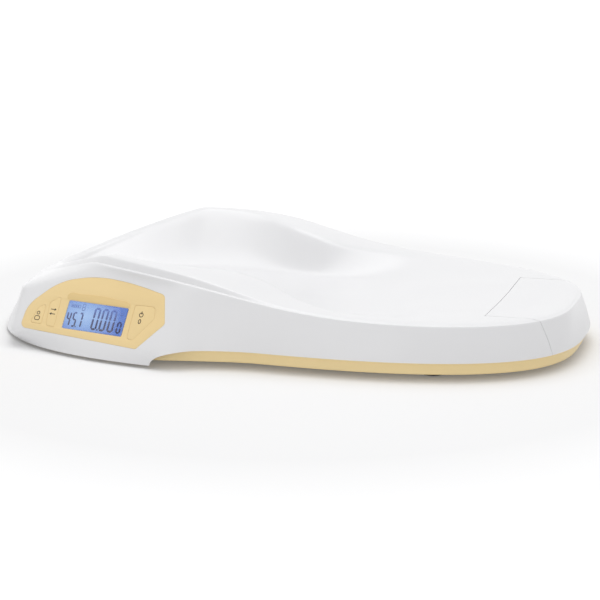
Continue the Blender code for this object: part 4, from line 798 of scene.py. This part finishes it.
lcd_blue = make_lcd_blue()
GLASS_TOP = -PLATE_THICKNESS - 0.3 * MM
GLASS_HALF_WIDTH, GLASS_HALF_HEIGHT, GLASS_THICKNESS = 34.6 * MM, 15.35 * MM, 2.2 * MM
glass = block("lcd_glass_skin", (-GLASS_HALF_WIDTH, -GLASS_HALF_HEIGHT, GLASS_TOP - GLASS_THICKNESS),
              (GLASS_HALF_WIDTH, GLASS_HALF_HEIGHT, GLASS_TOP), FACE, edge=0.3 * MM)
smooth(glass)
dress(glass, lcd_blue, "housing", "lcd_blue", "lcd_glass")


# The digits: seven-segment bars of the liquid crystal, in a thin layer on the glass.
# They show a weight and a length, with a battery sign and a small digit above.
def make_lcd_ink():
    """Dark navy low on the glass, fading to a see-through blue at its top."""
    made = bpy.data.materials.new("lcd_dark_segments")
    made.use_nodes = True
    nodes, links = made.node_tree.nodes, made.node_tree.links
    shader = nodes["Principled BSDF"]
    place = nodes.new("ShaderNodeTexCoord")
    dot = nodes.new("ShaderNodeVectorMath")
    dot.operation = "DOT_PRODUCT"
    dot.inputs[1].default_value = FACE_UP
    links.new(place.outputs["Object"], dot.inputs[0])
    height = nodes.new("ShaderNodeMapRange")
    height.inputs["From Min"].default_value = FACE_UP.dot(FACE_ORIGIN) - 10 * MM
    height.inputs["From Max"].default_value = FACE_UP.dot(FACE_ORIGIN) + 10 * MM
    links.new(dot.outputs["Value"], height.inputs["Value"])
    tone = nodes.new("ShaderNodeValToRGB")
    tone.color_ramp.elements[0].color = (0.004, 0.006, 0.05, 1)
    tone.color_ramp.elements[1].color = (0.055, 0.12, 0.42, 1)
    middle = tone.color_ramp.elements.new(0.45)
    middle.color = (0.008, 0.016, 0.12, 1)
    links.new(height.outputs["Result"], tone.inputs["Fac"])
    links.new(tone.outputs["Color"], shader.inputs["Emission Color"])
    shader.inputs["Base Color"].default_value = (0.01, 0.012, 0.03, 1)
    shader.inputs["Emission Strength"].default_value = 1.0
    shader.inputs["Roughness"].default_value = 0.3
    return made


lcd_ink = make_lcd_ink()
INK_THICKNESS = 0.05 * MM


def segment(name, centre, length, width, upright):
    """One bar of a digit: a six-sided plate with pointed ends."""
    half, tip = length / 2, width / 2
    outline = [(-half, 0), (-half + tip, -tip), (half - tip, -tip), (half, 0), (half - tip, tip), (-half + tip, tip)]
    if upright:
        outline = [(-y, x) for x, y in outline]
    return plate(name, [[(centre[0] + x, centre[1] + y, False) for x, y in outline]],
                 GLASS_TOP, GLASS_TOP + INK_THICKNESS, FACE)


LIT = {"0": "abcdef", "4": "bcfg", "5": "acdfg", "7": "abc", "8": "abcdefg"}


def digit(sign, centre, width, height, bar):
    """The lit bars of one seven-segment digit round its centre."""
    gap = 0.12 * bar
    across, down = width - bar, (height - bar) / 2  # between the middles of the bars
    bars = {"a": ((0, down), False), "g": ((0, 0), False), "d": ((0, -down), False),
            "f": ((-across / 2, down / 2), True), "b": ((across / 2, down / 2), True),
            "e": ((-across / 2, -down / 2), True), "c": ((across / 2, -down / 2), True)}
    made = []
    for letter in LIT[sign]:
        (x, y), upright = bars[letter]
        long = (down if upright else across) - gap
        made.append(segment("bar", (centre[0] + x, centre[1] + y), long, bar, upright))
    return made


def joined(name, pieces):
    bpy.ops.object.select_all(action="DESELECT")
    for piece in pieces:
        piece.select_set(True)
    bpy.context.view_layer.objects.active = pieces[0]
    bpy.ops.object.join()
    whole = bpy.context.object
    whole.name = name
    return whole


def flat_mark(name, outlines, height=INK_THICKNESS, level=GLASS_TOP):
    return plate(name, [[(x * MM, y * MM, False) for x, y in outline] for outline in outlines],
                 level, level + height, FACE)


def rounded_mark(x, y, width, height, corner):
    return [(x + dx, y + dy) for dx, dy, soft in rounded(width, height, corner)]


def square(x, y, width, height):
    return [(x - width / 2, y - height / 2), (x + width / 2, y - height / 2),
            (x + width / 2, y + height / 2), (x - width / 2, y + height / 2)]


bars = []
for number in range(3):
    bars += digit("0", ((0.3 + 8.9 * number) * MM, -0.4 * MM), 6.9 * MM, 21.8 * MM, 2.0 * MM)
bars += digit("0", (26.9 * MM, -5.5 * MM), 5.2 * MM, 11.6 * MM, 1.7 * MM)
for number, sign in enumerate("457"):
    bars += digit(sign, ((-28.9 + 6.4 * number) * MM, -3.8 * MM), 4.9 * MM, 14.6 * MM, 1.6 * MM)
bars += digit("8", (-15.6 * MM, 8.9 * MM), 3.4 * MM, 6.6 * MM, 0.55 * MM)
bars += [flat_mark("point", [square(4.75, -10.4, 1.5, 1.5)]), flat_mark("point", [square(-19.3, -10.4, 1.2, 1.2)]),
         flat_mark("mark", [square(-15.5, 3.4, 3.4, 0.5)]), flat_mark("mark", [square(26.9, 6.4, 3.6, 0.5)]),
         flat_mark("mark", [square(26.9, 8.2, 2.4, 0.5)]),
         flat_mark("cell", [square(-24.4, 9.0, 10.4, 3.0), square(-24.4, 9.0, 9.4, 2.2)])]
bars += [flat_mark("cell_bar", [square(-28.0 + 2.0 * number, 9.0, 1.3, 1.5)]) for number in range(4)]
digits = joined("lcd_digits", bars)
dress(digits, lcd_ink)
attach(digits, "housing")


# The signs on the keys: a baby, two arrows, and a power sign over a zero, printed in
# dark brown ink on the caps, so each rides on its key.
def ring(x, y, across, high, wall, points=24):
    """A band round an oval, as its outer and inner outline."""
    return [[(x + (across / 2 - shrink) * math.cos(turn), y + (high / 2 - shrink) * math.sin(turn))
             for turn in turns(points)] for shrink in (0, wall)]


def arrow(x, y, along, length=6.4, wide=2.6, shaft=0.7):
    """A flat arrow that points along +x or -x."""
    tip, neck = along * length / 2, along * (length / 2 - 2.2)
    return [(x + px, y + py) for px, py in (
        (tip, 0), (neck, wide / 2), (neck, shaft / 2), (-tip, shaft / 2), (-tip, -shaft / 2), (neck, -shaft / 2),
        (neck, -wide / 2))][::int(along)]


symbol_ink = plastic("printed_dark_brown", (0.035, 0.022, 0.012), (0.05, 0.033, 0.02), 0.5, skin=0.0)
PRINT = 0.03 * MM
baby = [flat_mark("head", ring(-62.9, -2.6, 3.6, 3.6, 0.7), PRINT, 0),
        flat_mark("body", [rounded_mark(-62.9, -7.6, 6.2, 4.6, 2.0),
                           rounded_mark(-62.9, -7.6, 4.8, 3.2, 1.3)], PRINT, 0)]
swap_arrows = [flat_mark("arrow", [arrow(-47.2, 2.6, 1)], PRINT, 0),
               flat_mark("arrow", [arrow(-47.6, -1.8, -1)], PRINT, 0)]
power = [flat_mark("power_ring", ring(47.7, 9.2, 4.6, 4.6, 0.75), PRINT, 0),
         flat_mark("power_bar", [square(47.7, 11.2, 0.75, 2.6)], PRINT, 0),
         flat_mark("zero", ring(47.7, 2.9, 3.2, 4.6, 0.8), PRINT, 0)]
for name, pieces, key in (("symbol_baby", baby, "key_user"), ("symbol_units", swap_arrows, "key_unit"),
                          ("symbol_power_zero", power, "key_zero")):
    symbol = joined(name, pieces)
    dress(symbol, symbol_ink)
    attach(symbol, key)


# The arch: a low step moulded in the faceplate over the window. Its cream is painted a shade deeper all over, as
# painted shade for where it turns away from the light.
arch_painted_shade = plastic("cream_yellow_arch_painted_shade", (0.81, 0.60, 0.275), (0.79, 0.58, 0.26), 0.38, 0.08, 0.06)
arch_outline = [(-35.5, 14.6, False), (33.8, 14.6, False), (33.0, 17.3, True), (15.0, 20.3, True), (-3.0, 21.3, True),
                (-20.0, 20.7, True), (-36.0, 18.6, True)]
arch = plate("display_arch", [[(x * MM, y * MM, soft) for x, y, soft in arch_outline]], -0.2 * MM, 0.35 * MM, FACE,
             edge=0.15 * MM)
smooth(arch)
dress(arch, arch_painted_shade)
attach(arch, "housing")


# The window: a clear acrylic sheet glued into the faceplate over the display glass,
# its corners rounded to fit the opening.
acrylic = bpy.data.materials.new("clear_acrylic_window")
acrylic.use_nodes = True
shader = acrylic.node_tree.nodes["Principled BSDF"]
shader.inputs["Base Color"].default_value = (0.97, 0.985, 1.0, 1)
shader.inputs["Transmission Weight"].default_value = 1.0
shader.inputs["Roughness"].default_value = 0.02
shader.inputs["IOR"].default_value = 1.49
WINDOW_GAP, WINDOW_SINK, WINDOW_THICKNESS = 0.25 * MM, 0.05 * MM, 0.95 * MM
lens = plate("display_window", [rounded(WINDOW[0] - 2 * WINDOW_GAP, WINDOW[1] - 2 * WINDOW_GAP, 1.3 * MM)],
             -WINDOW_SINK - WINDOW_THICKNESS, -WINDOW_SINK, FACE, edge=0.12 * MM)
smooth(lens)
dress(lens, acrylic, "housing", "clear_acrylic", "display_lens")


# The inner pieces, the feet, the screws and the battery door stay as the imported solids.
# Each keeps its place and gets the finish of what it is made of.
finishes = {
    "acetal": plastic("natural_acetal", (0.74, 0.73, 0.68), (0.70, 0.69, 0.63), 0.42, skin=0.05),
    "board": plastic("green_circuit_board", (0.02, 0.16, 0.06), (0.03, 0.20, 0.08), 0.4, skin=0.1),
    "silicone": plastic("grey_silicone", (0.34, 0.34, 0.34), (0.38, 0.38, 0.38), 0.65, skin=0.1),
    "black_abs": plastic("black_abs", (0.02, 0.02, 0.02), (0.03, 0.03, 0.03), 0.4, skin=0.1),
    "cell_steel": plastic("cell_steel", (0.52, 0.52, 0.53), (0.60, 0.60, 0.60), 0.32, metallic=1.0),
    "foot_grey": plastic("foot_cup_grey", (0.16, 0.16, 0.165), (0.19, 0.19, 0.19), 0.5, skin=0.1),
    "foot_rubber": plastic("foot_rubber", (0.035, 0.035, 0.035), (0.05, 0.05, 0.05), 0.8, skin=0.3),
    "battery_sleeve": plastic("battery_sleeve", (0.02, 0.07, 0.25), (0.03, 0.09, 0.30), 0.3),
    "nickel": plastic("nickel_plate", (0.60, 0.57, 0.50), (0.66, 0.63, 0.56), 0.28, metallic=1.0),
    "screw_steel": plastic("screw_steel", (0.50, 0.50, 0.50), (0.58, 0.58, 0.58), 0.3, metallic=1.0),
    "diffuser": plastic("milky_light_guide", (0.80, 0.87, 0.96), (0.76, 0.84, 0.94), 0.4),
    "yellow_abs": cream_abs,
}
slot_of = {entry["node"]: entry["material_slot"] for entry in frame["record"]["subparts"]}
for name, node in frame["nodes"].items():
    finish = finishes.get(slot_of[name])
    if finish is not None:
        node.data.materials.clear()
        node.data.materials.append(finish)
